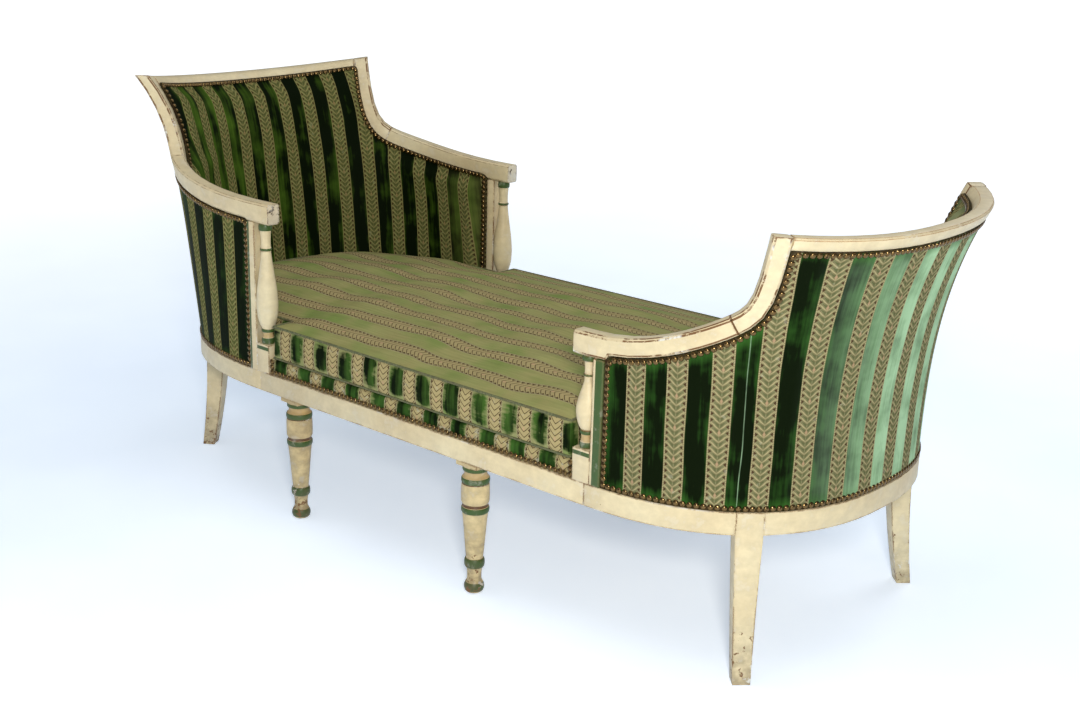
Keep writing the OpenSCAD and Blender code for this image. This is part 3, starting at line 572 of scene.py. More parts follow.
def old_paint_group():
    """Old brushed paint: soft changes of tone, grime, small knocks, and bare wood along the edges."""
    group, b, i, o = new_group(
        "Old paint",
        {"Paint": (0.8, 0.7, 0.5), "Bare wood": (0.2, 0.1, 0.05), "Chips": 0.4, "Grime": 0.35, "Rubbed": 0.0},
        ("Colour", "Roughness", "Height"))
    place = b.place()
    tone = b.noise(place, 5.0, 3.0, 0.55)
    fine = b.noise(place, 42.0, 4.0, 0.6)
    drag = b.noise(place, (60.0, 60.0, 420.0), 2.0)
    knocks = b.noise(place, 150.0, 3.0, 0.6)
    ragged = b.noise(place, 75.0, 4.0, 0.7)
    patches = b.noise(place, 13.0, 2.0)
    streaks = b.noise(place, (28.0, 28.0, 70.0), 3.0, 0.6)

    # Edges, where the normal of a rounded copy leaves the real one
    normal = b.out("ShaderNodeNewGeometry", output="Normal")
    rounded = b.out("ShaderNodeBevel", {"Radius": 0.0075}, samples=6)
    turned = b.out("ShaderNodeVectorMath", {0: normal, 1: rounded}, "Value", operation="DOT_PRODUCT")
    edge = turned.range(0.996, 0.88).do("MAXIMUM", i["Rubbed"])
    bare_edge = edge * 0.62 + (ragged - 0.5) * 1.5 + (patches - 0.5) * 1.1
    chipped = bare_edge.over(i["Chips"].range(0.0, 1.0, 0.95, 0.20), 0.10) * edge.over(0.06, 0.08)
    knocked = knocks.over(0.755, 0.02) * patches.over(0.5, 0.1)
    chipped = chipped.do("MAXIMUM", knocked * 0.8)

    # Grime, and darker paint and more chips towards the floor
    low = b.split(place)[2].range(0.13, 0.0)
    spread = fine + tone * 0.6 + streaks * 0.5
    darkening = spread.range(0.80, 1.3) * i["Grime"]
    darkening = darkening.do("ADD", low * spread.range(0.7, 1.2, 0.05, 0.75), clamp=True)
    chipped = chipped.do("MAXIMUM", (ragged + low * 0.16).over(0.70, 0.03) * low.over(0.05, 0.1))

    yellowed = b.mix(1.0, i["Paint"], (0.93, 0.81, 0.66), "MULTIPLY")
    warm = b.mix(tone.range(0.35, 0.7, 0.0, 0.5), i["Paint"], yellowed)
    darkened = b.mix(darkening, warm, b.mix(0.62, warm, (0.12, 0.085, 0.045)))
    pale = b.mix(fine.over(0.62, 0.1), darkened, b.mix(0.16, darkened, (0.9, 0.87, 0.8)))
    worn_edge = b.mix(edge * 0.45, pale, b.mix(0.5, pale, (0.45, 0.3, 0.16)))
    gesso = b.noise(place, 11.0, 2.0).over(0.60, 0.05) * knocks.over(0.46, 0.06)
    under = b.mix(gesso, i["Bare wood"], (0.62, 0.60, 0.54))
    b.put(o["Colour"], b.mix(chipped, worn_edge, under))
    b.put(o["Roughness"], (chipped * 0.5 + fine).range(0.3, 1.2, 0.34, 0.72))
    b.put(o["Height"], drag * 0.22 + tone * 0.3 - chipped * 0.9)
    return group


# Further along the cloth than any piece of it reaches
BEYOND = 9.0


def braid_group(s):
    """Velvet and braid stripes. The braid has beaded cords, brown ticks, leaves in V shapes and small lozenges."""
    group, b, i, o = new_group(
        "Braid and velvet stripes",
        {"Place": None, "Shift": 0.0, "Repeat": s.repeat, "Braid": s.braid, "Wear": 0.0, "Waver": 0.0015,
         "Dark pile": s.velvet, "Light pile": s.pile, "Rubbed pile": s.mint, "Rub from": BEYOND,
         "Rub over": 0.2, "Bright to": -BEYOND, "Seam": -BEYOND, "Threads": 0.15, "Outline": 0.45,
         "Leaf": s.leaf, "Middle": 0.0, "Reach": BEYOND, "Edge glow": 0.0, "Shade": (1.0, 1.0, 1.0),
         "Vein": 0.9, "Leaf width": 0.0024, "Nailed edge": 0.0},
        ("Colour", "Height", "Braid mask"))
    place, vein = i["Place"], i["Vein"]
    u0, v, _ = b.split(place)
    sway = b.noise(place, 6.0, 1.0) - 0.5
    u = u0 + i["Shift"] + sway * (i["Waver"] * 4.0)
    half = i["Repeat"] * 0.5
    a = abs((u + half).wrap(i["Repeat"]) - half)
    wide = i["Braid"] * 0.5
    braid = a.under(wide, 0.0007)

    # The beaded cords along both edges, and the ticks inside them
    bead_pitch, cord_w, tick_in, leaf_in = 0.0032, 0.0024, 0.0078, 0.0052
    cord_from, tick_from = wide - cord_w, wide - tick_in
    cord = a.over(cord_from, 0.0006) * braid
    beads = v.wave(bead_pitch).scaled(0.5, 0.5)
    pitch = s.chevron
    rung = abs(v.wrap(pitch) - pitch / 2)
    tick = rung.under((a - tick_from) * 0.85, 0.0007) * (a.over(tick_from, 0.0005) * a.under(cord_from, 0.0005))

    # The leaves, their outline and veins, the spots on the spine and the light gaps
    rib_pitch, warp_pitch, weft_pitch, rim_w = 0.0021, 0.0013, 0.0011, 0.0009
    slant = v - a * a.scaled(15.0, 0.72)
    to_leaf = abs(slant.wrap(pitch) - pitch / 2)
    inside = a.under(wide - leaf_in, 0.0012)
    ragged = to_leaf + (b.noise(place, 420.0, 2.0) - 0.5) * 0.0016
    leaf = ragged.under(i["Leaf width"], rim_w) * inside
    outline = abs(to_leaf - (i["Leaf width"] + rim_w)).under(0.0010, 0.0007) * inside
    ribs = slant.wave(rib_pitch).over(0.1, 0.7) * inside
    spot = ragged.under(0.0034 - a * 0.30, 0.0006) * a.over(0.0011, 0.0005)
    light = (pitch / 2 - to_leaf).under(0.0024 - abs(a - 0.0085) * 0.34, 0.0006) * inside
    lozenge = (a + abs(v.wrap(5 * pitch) - 2.5 * pitch) * 0.55).under(0.0030, 0.0008)
    weave = v.wave(warp_pitch) * u.wave(weft_pitch)

    # Colours of the braid
    faded = b.noise(place, 22.0, 3.0, 0.6)
    feather = srgb(66, 74, 42)
    ground = b.mix(faded.range(0.3, 0.75), s.ground, b.mix(0.45, s.ground, s.cord))
    white = (b.noise(place, 60.0, 3.0) + i["Threads"] * 0.14).over(0.69, 0.04)
    cloth = ground
    for mask, tone in (
            (weave.scaled(0.10, 0.12, clamp=True), s.tick), (outline * i["Outline"], s.tick),
            (leaf * (0.85 - vein * 0.42), i["Leaf"]), (ribs * (vein * 0.42), feather),
            (light * (vein * 0.55), s.cord), (spot * (vein * 0.70), feather), (tick * 0.92, s.tick),
            (lozenge * 0.55, srgb(186, 148, 118)), (cord, b.mix((1.0 - beads) * 0.62, s.cord, s.tick)),
            (white * i["Threads"].scaled(0.6, 0.2), srgb(176, 174, 150))):
        cloth = b.mix(mask, cloth, tone)

    # The pile of the velvet: its light and dark patches, painted sheen where the pile catches the light, its
    # rubbed parts and its seam
    streak = b.noise(place, (190.0, 9.0, 1.0), 3.0, 0.6)
    blotch = b.noise(place, 16.0, 3.0, 0.55)
    cloudy = b.noise(place, (34.0, 5.0, 1.0), 2.0)
    near_braid = 1.0 - (a - wide).range(0.0, 0.007)
    # More painted sheen along the cloth, up to Bright to
    bright = 1.0 - u0.range(i["Bright to"] - 0.35, i["Bright to"])
    from_edge = b.out("ShaderNodeAttribute", output="Fac", attribute_name="from_edge")
    # Painted sheen along the nailed edges by Edge glow, and painted shade there where it is below 0
    rim = (from_edge + blotch * 0.02).range(0.040, 0.012)
    lift = (streak - 0.5) * 0.8 + (blotch - 0.46) * 1.5 + (cloudy - 0.5) * 1.5 + near_braid * 0.22
    lift = lift - 0.14 + bright * cloudy.range(0.25, 0.75, 0.0, 0.75) + rim * i["Edge glow"]
    rub = u0.range(i["Rub from"], i["Rub from"] + i["Rub over"])
    rub = rub * (1.0 - rim * v.range(0.22, 0.34) * 0.75)
    pile = b.mix(lift.do("ADD", rub * 0.9, clamp=True), i["Dark pile"], i["Light pile"])
    patchy = (blotch + streak * 0.6).range(0.55, 0.90, 0.42, 1.0)
    pile = b.mix(rub * rub.do("POWER", 0.6) * patchy, pile, i["Rubbed pile"])

    # Where the pile is worn away
    bald = faded * 0.7 + blotch * 0.7 + (streak - 0.5) * 0.25
    bald = bald + (0.55 - (a - wide).range(0.0, 0.014)) * 0.22
    bald = bald + abs(v - i["Middle"]).range(i["Reach"] * 0.6, i["Reach"]) * 0.45
    bald = bald + (b.noise(place, (30.0, 210.0, 1.0), 3.0, 0.6) - 0.5) * 0.3
    bald_mask = (bald + i["Wear"] * 0.62).over(1.06, 0.22) * i["Wear"].over(0.05, 0.05)
    browned = b.mix(blotch.range(0.35, 0.7, 0.0, 0.45), i["Rubbed pile"], srgb(146, 132, 88))
    browned = b.mix(b.noise(place, 9.0, 2.0).range(0.45, 0.7, 0.0, 0.6), browned, srgb(98, 130, 58))
    browned = b.mix(streak.range(0.4, 0.75, 0.0, 0.3), browned, srgb(84, 92, 50))
    pile = b.mix(bald_mask, pile, browned)
    seam = abs(u0 + sway * 0.012 - i["Seam"]).under(0.0007, 0.0012)
    pile = b.mix(seam * blotch.range(0.3, 0.6, 0.15, 0.6), pile, s.mint)

    # The tint multiplies the whole cloth: painted shade over a whole piece, and 1 leaves it as it is
    face = b.mix(1.0, b.mix(braid, pile, cloth), i["Shade"], "MULTIPLY")
    nailed = from_edge.under(0.0065, 0.0020) * i["Nailed edge"]
    b.put(o["Colour"], b.mix(nailed, face, srgb(48, 36, 22)))
    relief = leaf * 0.4 + cord * beads.scaled(0.5, 0.5) + weave * 0.12
    nap = streak * 0.5 + b.noise(place, 900.0, 2.0) * 0.35 + (1.0 - bald_mask) * 0.5
    b.put(o["Height"], braid * relief + (1.0 - braid) * nap)
    b.put(o["Braid mask"], braid)
    return group


# Finishes

KIT = {}


def paint_finish(name, group, **values):
    b = Finish(name)
    g = b.group(group, values)
    return b.shade(g["Colour"], g["Roughness"], g["Height"], 0.0004, 0.7, Specular_IOR_Level=0.34)


def cloth_finish(name, group, **values):
    b = Finish(name)
    g = b.group(group, dict(values, Place=b.out("ShaderNodeUVMap", uv_map="Cloth")))
    return b.shade(g["Colour"], g["Braid mask"].range(0.0, 1.0, 0.62, 0.86), g["Height"], 0.0009, 0.8,
                   Specular_IOR_Level=0.03, Sheen_Weight=0.025, Sheen_Roughness=0.35,
                   Sheen_Tint=(0.34, 0.52, 0.18))


def bare_wood_finish():
    """Old unpainted pine, greyed under the seat."""
    b = Finish("Bare pine")
    place = b.place()
    grain = b.noise(place, (9.0, 70.0, 90.0), 5.0, 0.6, 0.8)
    wood = b.mix(grain.range(0.3, 0.7), srgb(150, 110, 70), srgb(96, 64, 38))
    wood = b.mix(b.noise(place, 7.0).range(0.35, 0.7, 0.0, 0.5), wood, srgb(104, 92, 76))
    return b.shade(wood, grain.range(0.2, 0.8, 0.6, 0.85), grain, 0.0006, 0.6)


def webbing_finish():
    """Jute strips in a plain weave."""
    b = Finish("Jute webbing")
    place = b.place()
    x, y, _ = b.split(place)
    weave = x.wave(0.0034) * y.wave(0.0034)
    fluff = b.noise(place, 120.0, 4.0)
    tone = b.mix(weave.range(-1.0, 1.0, 0.0, 0.6), srgb(168, 138, 94), srgb(104, 78, 46))
    tone = b.mix(fluff.range(0.3, 0.8, 0.0, 0.5), tone, srgb(136, 116, 82))
    return b.shade(tone, 0.92, weave + fluff, 0.0008, 0.8)


def deck_finish():
    """Plain linen over the stuffing of the seat."""
    b = Finish("Deck linen")
    place = b.place()
    x, y, _ = b.split(place)
    stains = b.noise(place, 9.0, 4.0, 0.6)
    cloth = b.mix(stains.range(0.35, 0.7), srgb(150, 140, 112), srgb(112, 98, 72))
    return b.shade(cloth, 0.95, x.wave(0.0012) * y.wave(0.0012) + stains, 0.0004, 0.6)


def bronze_finish(s):
    """Browned brass of old nail heads, brighter where they are rubbed."""
    b = Finish("Browned nail heads")
    place = b.place()
    spots = b.noise(place, 260.0, 4.0, 0.6)
    each = b.noise(place, 38.0, 2.0)
    tone = b.mix(each.range(0.3, 0.7), s.bronze, b.mix(0.5, s.bronze, (0.17, 0.11, 0.05)))
    tone = b.mix(spots.over(0.61, 0.10), tone, (0.030, 0.022, 0.013))
    return b.shade(tone, spots.range(0.3, 0.7, 0.16, 0.32), spots, 0.0002, 0.2, Metallic=1.0)


def piping_finish():
    """Dark green cord covered with worn velvet, twisted with brown."""
    b = Finish("Green piping")
    place = b.place()
    fluff = b.noise(place, 240.0, 4.0, 0.6)
    tone = b.mix(fluff.range(0.3, 0.7), srgb(62, 68, 44), srgb(112, 114, 76))
    tone = b.mix(b.noise(place, 20.0).range(0.5, 0.75, 0.0, 0.6), tone, srgb(96, 70, 44))
    return b.shade(tone, 0.85, fluff, 0.0005, 0.8)


def paint_finishes(s):
    """Each paint with its colour, the wood under it, its chips, its grime and how far it is rubbed."""
    group = old_paint_group()
    for key, name, paint, wood, chips, grime, rubbed in (
            ("cream", "Cream paint", s.cream, s.bare, 1.0, 0.42, 0.0),
            ("green", "Green paint", s.green, s.bare, 0.8, 0.4, 0.0),
            ("leg", "Cream paint of the turned legs", srgb(212, 194, 148), s.bare, 1.0, 0.95, 0.0),
            ("arris", "Cream paint along the edges", s.cream, s.bare, 1.3, 0.7, 0.85),
            ("worn", "Rubbed edges of the crests", s.cream, srgb(160, 112, 66), 1.8, 0.8, 0.95),
            ("chipped", "Chipped ends of the arms", srgb(222, 216, 196), srgb(66, 46, 30), 1.3, 0.5, 0.55),
            # The hollows of the turnings: painted shade in ochre
            ("hollow_shade", "Ochre hollows", s.hollow_shade, s.bare, 1.0, 0.6, 0.0),
            ("groove", "Dark grooves", srgb(92, 62, 38), s.bare, 1.0, 0.7, 0.0)):
        KIT[key] = paint_finish(name, group, Paint=paint, Bare_wood=wood, Chips=s.chips * chips,
                                Grime=grime, Rubbed=rubbed)


def cloth_finishes(s):
    """Each place of the striped cloth with its wear, its colours, and its painted sheen and shade."""
    group = braid_group(s)
    wall = dict(Nailed_edge=0.9, Shift=-0.0675)
    lining = dict(Nailed_edge=0.9, Waver=0.002)
    worn = dict(Leaf=srgb(172, 156, 110), Outline=0.9, Vein=0.0, Leaf_width=0.0048)
    side = dict(worn, Bright_to=BEYOND)
    for key, name, values in (
            # The head wall and both linings are darkened all over by their tint: painted shade
            ("head_wall", "Velvet and braid of the head", dict(wall, Edge_glow=0.5, Shade=(0.80, 0.86, 0.60))),
            ("foot_wall", "Velvet and braid of the foot", dict(
                wall, Rub_from=0.34, Rub_over=0.24, Seam=0.262, Light_pile=srgb(52, 96, 36), Edge_glow=0.75)),
            # Inside the head, Edge glow below 0 paints shade along the nailed edges
            ("head_lining", "Velvet and braid inside the head", dict(
                lining, Light_pile=srgb(84, 114, 40), Bright_to=0.85, Rub_from=1.20, Rub_over=0.2,
                Edge_glow=-0.5, Rubbed_pile=srgb(116, 114, 78), Shade=(0.66, 0.70, 0.50))),
            ("foot_lining", "Velvet and braid inside the foot", dict(
                lining, Light_pile=srgb(62, 90, 38), Bright_to=0.5, Edge_glow=0.3, Rub_from=0.55,
                Rub_over=0.3, Rubbed_pile=srgb(140, 142, 112), Shade=(0.86, 0.88, 0.72))),
            ("boxing", "Worn stripes of the boxing", dict(
                side, Wear=0.40, Waver=0.002, Threads=0.25, Light_pile=srgb(68, 100, 40),
                Rubbed_pile=srgb(144, 150, 100), Middle=0.040, Reach=0.040)),
            ("band", "Worn stripes of the seat band", dict(
                side, Wear=0.30, Waver=0.001, Threads=0.6, Light_pile=srgb(64, 102, 40),
                Rubbed_pile=srgb(138, 146, 96), Middle=0.038, Reach=0.022)),
            ("top", "Worn stripes of the mattress top", dict(
                worn, Wear=1.3, Waver=0.009, Threads=0.02, Shift=0.022, Light_pile=srgb(84, 104, 52),
                Rubbed_pile=s.olive, Leaf=srgb(160, 145, 102)))):
        KIT[key] = cloth_finish(name, group, **values)


def materials():
    """All finishes, made once."""
    if not KIT:
        s = bpy.context.scene.recamier
        paint_finishes(s.paint)
        cloth_finishes(s.fabric)
        KIT.update(wood=bare_wood_finish(), jute=webbing_finish(), deck=deck_finish(),
                   bronze=bronze_finish(s.nails), piping=piping_finish())
    return KIT


# Painted wood

# Numbers of the finishes after the cream paint: two that only flat pieces have, and two of turned ones
GREEN = 1
EDGE, CHIPPED = 2, 3
# On the turned pieces, 2 is the painted shade of the hollows
HOLLOW_SHADE, GROOVE = 2, 3

# Widths of the eased edges, where they aren't the usual one
LEG_EASE = 0.0022
POST_EASE = 0.0012
STILE_EASE = 0.0020
CREST_EASE = 0.0044
CAP_EASE = 0.0014


def welded_copy(node, name):
    """A copy of a CAD solid with its corners welded and its flat faces made whole."""
    piece = new_object(name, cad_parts[node].data.copy())
    piece.data.materials.clear()
    edit(piece, "VERT")
    bpy.ops.mesh.remove_doubles(threshold=0.00002)
    bpy.ops.mesh.dissolve_limited(angle_limit=math.radians(0.4))
    leave(outward=True)
    return piece


def ease_edges(piece, width, material=-1):
    apply_modifier(piece, "BEVEL", width=width, segments=2, limit_method="ANGLE",
                   angle_limit=math.radians(32), material=material)
    soften(piece, 40)


def painted(node, width=None, rule=None, cuts=(), edge="arris"):
    """A painted copy of a wooden CAD solid with eased edges. cuts are planes that rule's lines end at."""
    piece = welded_copy(node, node + "_painted")
    for at, normal in cuts:
        edit(piece)
        bpy.ops.mesh.bisect(plane_co=at, plane_no=normal)
        leave()
    if rule:
        paint_faces(piece, rule)
    finishes = ("cream", "green", edge, "chipped")
    dress(piece, *finishes)
    ease_edges(piece, width or bpy.context.scene.recamier.paint.ease, EDGE)
    if rule:
        paint_faces(piece, rule)
    finish_piece(piece, node, "painted_wood", *finishes)


def bare(node, finish):
    """Gives a CAD solid that stays as it is its finish."""
    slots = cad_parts[node].data.materials
    slots.clear()
    slots.append(materials()[finish])


class RECAMIER_OT_seat_frame(bpy.types.Operator):
    """Paints the seat rails, and finishes the stretchers, dowels and webbing under the seat"""

    bl_idname = "recamier.seat_frame"
    bl_label = "Seat frame"

    def execute(self, context):
        for side in SIDES:
            painted(f"{side}_side_rail")
        for end in ENDS:
            for part in ("rail_front_curve", "rail_back_curve", "end_rail"):
                painted(f"{end.name}_{part}")
            bare(f"{end.name}_cross_stretcher", "wood")
        bare("rail_dowels", "wood")
        bare("seat_webbing", "jute")
        return {"FINISHED"}


def turn(name, profile):
    """Turns a piece round Z: a ring that is extruded and resized up its profile, as on a lathe."""
    r, z = profile[0]
    clear_selection()
    bpy.ops.mesh.primitive_circle_add(vertices=40, radius=r, fill_type="NGON", location=(0, 0, z))
    piece = bpy.context.object
    piece.name = name
    settle()
    edit(piece)
    for r1, z1 in profile[1:]:
        bpy.ops.mesh.extrude_region_move(TRANSFORM_OT_translate={"value": (0, 0, z1 - z)})
        if abs(r1 - r) > 1e-7:
            bpy.ops.transform.resize(value=(r1 / r, r1 / r, 1), center_override=(0, 0, z1))
        r, z = r1, z1
    leave(outward=True)
    soften(piece, 50)
    return piece


def bead(r, z0, z1, deep, n=5):
    """Points of a rounded bead of radius r between two heights."""
    shares = [k / n for k in range(n + 1)]
    return [(r - deep + deep * math.sqrt(max(0.0, 1 - (2 * k - 1) ** 2)), z0 + (z1 - z0) * k) for k in shares]


def curve_points(points, n):
    """A smooth line through turned points, with n steps from each to the next."""
    pts = [Vector(p) for p in points]
    out = []
    for k in range(len(pts) - 1):
        a, b, c, d = pts[max(k - 1, 0)], pts[k], pts[k + 1], pts[min(k + 2, len(pts) - 1)]
        for w in (j / n for j in range(n)):
            out.append(tuple(0.5 * ((2 * b) + (c - a) * w + (2 * a - 5 * b + 4 * c - d) * w * w
                                    + (3 * b - a - 3 * c + d) * w ** 3)))
    return out + [tuple(pts[-1])]


def place_copies(model, part, ends, bands, finishes, z=0.0):
    """Copies a turned model to its places, each with its own mesh, and paints its rings by height."""
    def ring(centre, normal):
        return next((kind for low, high, kind in bands if low <= centre.z < high), 0)

    for side in SIDES:
        for end in ends:
            node = f"{part}_{side}_{end.name}"
            low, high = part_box(node)
            at = (low + high) / 2
            take(model)
            bpy.ops.object.duplicate()
            piece = bpy.context.object
            piece.name = node + "_turned"
            bpy.ops.transform.translate(value=(at.x, at.y, z))
            settle()
            paint_faces(piece, ring)
            finish_piece(piece, node, "painted_wood", *finishes)
    bpy.data.objects.remove(model)


class RECAMIER_OT_turned_legs(bpy.types.Operator):
    """Turns one leg on the lathe and copies it to the four places under the side rails"""

    bl_idname = "recamier.turned_legs"
    bl_label = "Turned legs"

    # Radius and height of each turned part, from the bun foot up
    foot = [(0.0185, 0.004), (0.0204, 0.010), (0.0202, 0.016), (0.0178, 0.022),
            (0.0150, 0.028), (0.0146, 0.038), (0.0152, 0.047), (0.0165, 0.0530)]
    shaft = [(0.0176, 0.076), (0.0206, 0.110), (0.0238, 0.150), (0.0262, 0.1725)]
    drum = [(0.0270, 0.1935), (0.0282, 0.197), (0.0286, 0.205), (0.0286, 0.222), (0.0283, 0.230), (0.0276, 0.2345)]
    neck = [(0.0262, 0.2486), (0.0236, 0.2525), (0.0228, 0.2565), (0.0240, 0.2610)]
    # Green rings, dark grooves, and painted shade in the hollow of the neck
    rings = [(0.0048, 0.0225, GREEN), (0.0548, 0.0745, GREEN), (0.1737, 0.1862, GREEN),
             (0.1866, 0.1930, GROOVE), (0.2347, 0.2363, GROOVE), (0.2363, 0.2482, GREEN),
             (0.2484, 0.2612, HOLLOW_SHADE), (0.2615, 0.2702, GREEN)]

    def execute(self, context):
        h = RAIL_BOTTOM
        profile = [(0.0120, 0.0), (0.0150, 0.0006), (0.0185, 0.0040)] + curve_points(self.foot, 4)[1:]
        profile += [(0.0172, 0.0545)] + bead(0.0208, 0.0550, 0.0740, 0.0022, 6) + [(0.0176, 0.0745)]
        profile += curve_points(self.shaft, 5)
        profile += [(0.0264, 0.1735)] + bead(0.0284, 0.1738, 0.1860, 0.0014)
        profile += [(0.0262, 0.1866), (0.0250, 0.1880), (0.0250, 0.1915), (0.0266, 0.1930)]
        profile += curve_points(self.drum, 4)
        profile += [(0.0262, 0.2350), (0.0262, 0.2362)] + bead(0.0288, 0.2364, 0.2480, 0.0014)
        profile += [(0.0266, 0.2484)] + curve_points(self.neck, 4)
        block_h, lap = 0.0085, 0.0002
        profile += [(0.0250, 0.2614)] + bead(0.0266, 0.2616, 0.2700, 0.0012, 4) + [(0.0255, h - block_h + lap)]
        model = turn("leg_model", profile)
        low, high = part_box("turned_leg_front_head")
        block = high.x - low.x
        clear_selection()
        bpy.ops.mesh.primitive_cube_add(size=1, location=(0, 0, h - block_h / 2))
        cap = bpy.context.object
        bpy.ops.transform.resize(value=(block, block, block_h))
        settle()
        edit(cap)
        bpy.ops.mesh.subdivide(number_cuts=3)
        leave()
        ease_edges(cap, CAP_EASE)
        joined(model, cap)
        soften(model, 50)
        place_copies(model, "turned_leg", ENDS, self.rings, ("leg", "green", "hollow_shade", "groove"))
        return {"FINISHED"}


class RECAMIER_OT_sabre_legs(bpy.types.Operator):
    """Paints the four sabre legs"""

    bl_idname = "recamier.sabre_legs"
    bl_label = "Sabre legs"

    def execute(self, context):
        for side in SIDES:
            for end in ENDS:
                painted(f"sabre_leg_{side}_{end.name}", LEG_EASE)
        return {"FINISHED"}


class RECAMIER_OT_front_posts(bpy.types.Operator):
    """Paints the plinth blocks and flat posts with their green lines"""

    bl_idname = "recamier.front_posts"
    bl_label = "Plinths and posts"

    def execute(self, context):
        line = context.scene.recamier.paint.line
        line_in, line_h = 0.0045, 0.008
        for end in ENDS:
            for side, y in SIDES.items():
                plinth, post = f"plinth_{side}_{end.name}", f"post_{side}_{end.name}"
                line_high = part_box(plinth)[1].z - line_in
                line_low = line_high - line_h

                def on_plinth(centre, normal):
                    return GREEN if line_low < centre.z < line_high and normal.y * y > 0.3 else 0

                painted(plinth, LEG_EASE, on_plinth, [((0, 0, z), (0, 0, 1)) for z in (line_low, line_high)])
                low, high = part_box(post)
                line_x = high.x - 2.0 * line if end is FOOT else low.x + 0.8 * line

                def on_post(centre, normal):
                    return GREEN if (centre.x - line_x) * end.side > 0 and normal.y * y > -0.3 else 0

                painted(post, POST_EASE, on_post, [((line_x, 0, 0), (1, 0, 0))])
        return {"FINISHED"}


class RECAMIER_OT_balusters(bpy.types.Operator):
    """Turns the balusters of the head and of the foot, each once, and copies them to both sides"""

    bl_idname = "recamier.balusters"
    bl_label = "Balusters"

    # Radii as shares of the solid's, and heights as shares of the whole height
    shapes = {
        "head": dict(ring=0.60, waist=0.46, neck=0.46, low=0.052, mid=0.100, top=0.128, vase=[
            (0.54, 0.131), (0.75, 0.170), (0.93, 0.235), (0.997, 0.315), (0.99, 0.370), (0.88, 0.480),
            (0.69, 0.600), (0.54, 0.700)]),
        "foot": dict(ring=0.78, waist=0.60, neck=0.50, low=0.068, mid=0.152, top=0.195, vase=[
            (0.66, 0.199), (0.92, 0.240), (1.14, 0.310), (1.25, 0.385), (1.24, 0.440), (1.04, 0.540),
            (0.74, 0.640), (0.51, 0.720)])}

    def execute(self, context):
        for end in ENDS:
            low_corner, high_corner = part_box(f"baluster_front_{end.name}")
            r = (high_corner.x - low_corner.x) / 2
            z0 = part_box(f"plinth_front_{end.name}")[1].z
            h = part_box(f"post_front_{end.name}")[1].z - z0
            shape = self.shapes[end.name]
            ring, waist, neck = (shape[key] * r for key in ("ring", "waist", "neck"))
            low, mid, top = shape["low"], shape["mid"], shape["top"]

            def at(*pairs):
                return [(radius, share * h) for radius, share in pairs]

            profile = at((ring * 0.94, 0.0)) + bead(ring, 0.003 * h, low * h, 0.0010)
            profile += curve_points(at((ring * 0.86, low + 0.003), (waist * 1.04, low + 0.35 * (mid - low)),
                                       (waist, low + 0.62 * (mid - low)), (waist * 1.12, mid - 0.003)), 4)
            profile += bead(ring, mid * h, top * h, 0.0011)
            profile += curve_points(at(*((k * r, share) for k, share in shape["vase"]), (neck, 0.773)), 6)
            profile += bead(neck + 0.0022, 0.776 * h, 0.797 * h, 0.0012, 4)
            profile += curve_points(at((neck, 0.800), (neck * 0.98, 0.860), (neck * 1.12, 0.938)), 5)
            profile += bead(ring * 1.04, 0.942 * h, 0.990 * h, 0.0012) + [(ring * 0.9, h)]
            # Green rings, and painted shade in the hollow of the waist
            bands = [(0.0, low + 0.001, GREEN), (low + 0.002, mid - 0.0015, HOLLOW_SHADE),
                     (mid - 0.001, top + 0.0005, GREEN), (0.7755, 0.7975, GREEN), (0.9415, 1.0, GREEN)]
            bands = [(z0 + start * h, z0 + stop * h, kind) for start, stop, kind in bands]
            model = turn(f"baluster_model_{end.name}", profile)
            place_copies(model, "baluster", [end], bands, ("cream", "green", "hollow_shade"), z0)
        return {"FINISHED"}


class RECAMIER_OT_end_frames(bpy.types.Operator):
    """Paints the arms, stiles and crest rails, and finishes the uprights inside the ends"""

    bl_idname = "recamier.end_frames"
    bl_label = "Arms, stiles and crests"

    def execute(self, context):
        for end in ENDS:
            for side in SIDES:
                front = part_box(f"arm_{side}_{end.name}")[0 if end is FOOT else 1].x

                def on_end(centre, normal):
                    return CHIPPED if normal.x * end.side < -0.8 and abs(centre.x - front) < 0.003 else 0

                painted(f"arm_{side}_{end.name}", LEG_EASE, on_end)
                painted(f"stile_{side}_{end.name}", STILE_EASE)
                bare(f"upright_{side}_{end.name}", "wood")
            painted(f"{end.name}_crest_rail", CREST_EASE, edge="worn")
        return {"FINISHED"}


# Cloth

def net_faces(columns, rows, start=0, flip=False):
    """Faces of a net whose points are numbered up each column in turn."""
    corners = [start + c * rows + r for c in range(columns - 1) for r in range(rows - 1)]
    faces = [(a, a + rows, a + rows + 1, a + 1) for a in corners]
    return [f[::-1] for f in faces] if flip else faces


def hoop_faces(hoops, size, closed=False):
    """Faces between hoops of points that follow each other. In a closed row the last meets the first."""
    quads = []
    for i in range(hoops if closed else hoops - 1):
        a, b = i * size, (i + 1) % hoops * size
        quads += [(a + k, a + (k + 1) % size, b + (k + 1) % size, b + k) for k in range(size)]
    return quads


def mark_edge(piece, distance):
    """Keeps each point's distance from the nailed edge, which the velvet's shading reads."""
    layer = piece.data.attributes.new("from_edge", "FLOAT", "POINT")
    layer.data.foreach_set("value", np.asarray(distance, np.float32))


def nearest(points, line, batch=800):
    """Distance from each point to the nearest point of a line."""
    parts = (points[k:k + batch] for k in range(0, len(points), batch))
    return np.concatenate([np.sqrt(((part[:, None] - line[None]) ** 2).sum(-1)).min(1) for part in parts])


def soft_noise(points, scale, seed, waves=14):
    """Slow random heights that are the same at each run."""
    rng = np.random.default_rng(seed)
    out = np.zeros(len(points))
    for _ in range(waves):
        d = rng.normal(size=3)
        d /= np.linalg.norm(d)
        out += np.sin(points @ d * scale * rng.uniform(0.6, 1.6) + rng.uniform(0, 6.28))
    return out / waves ** 0.5


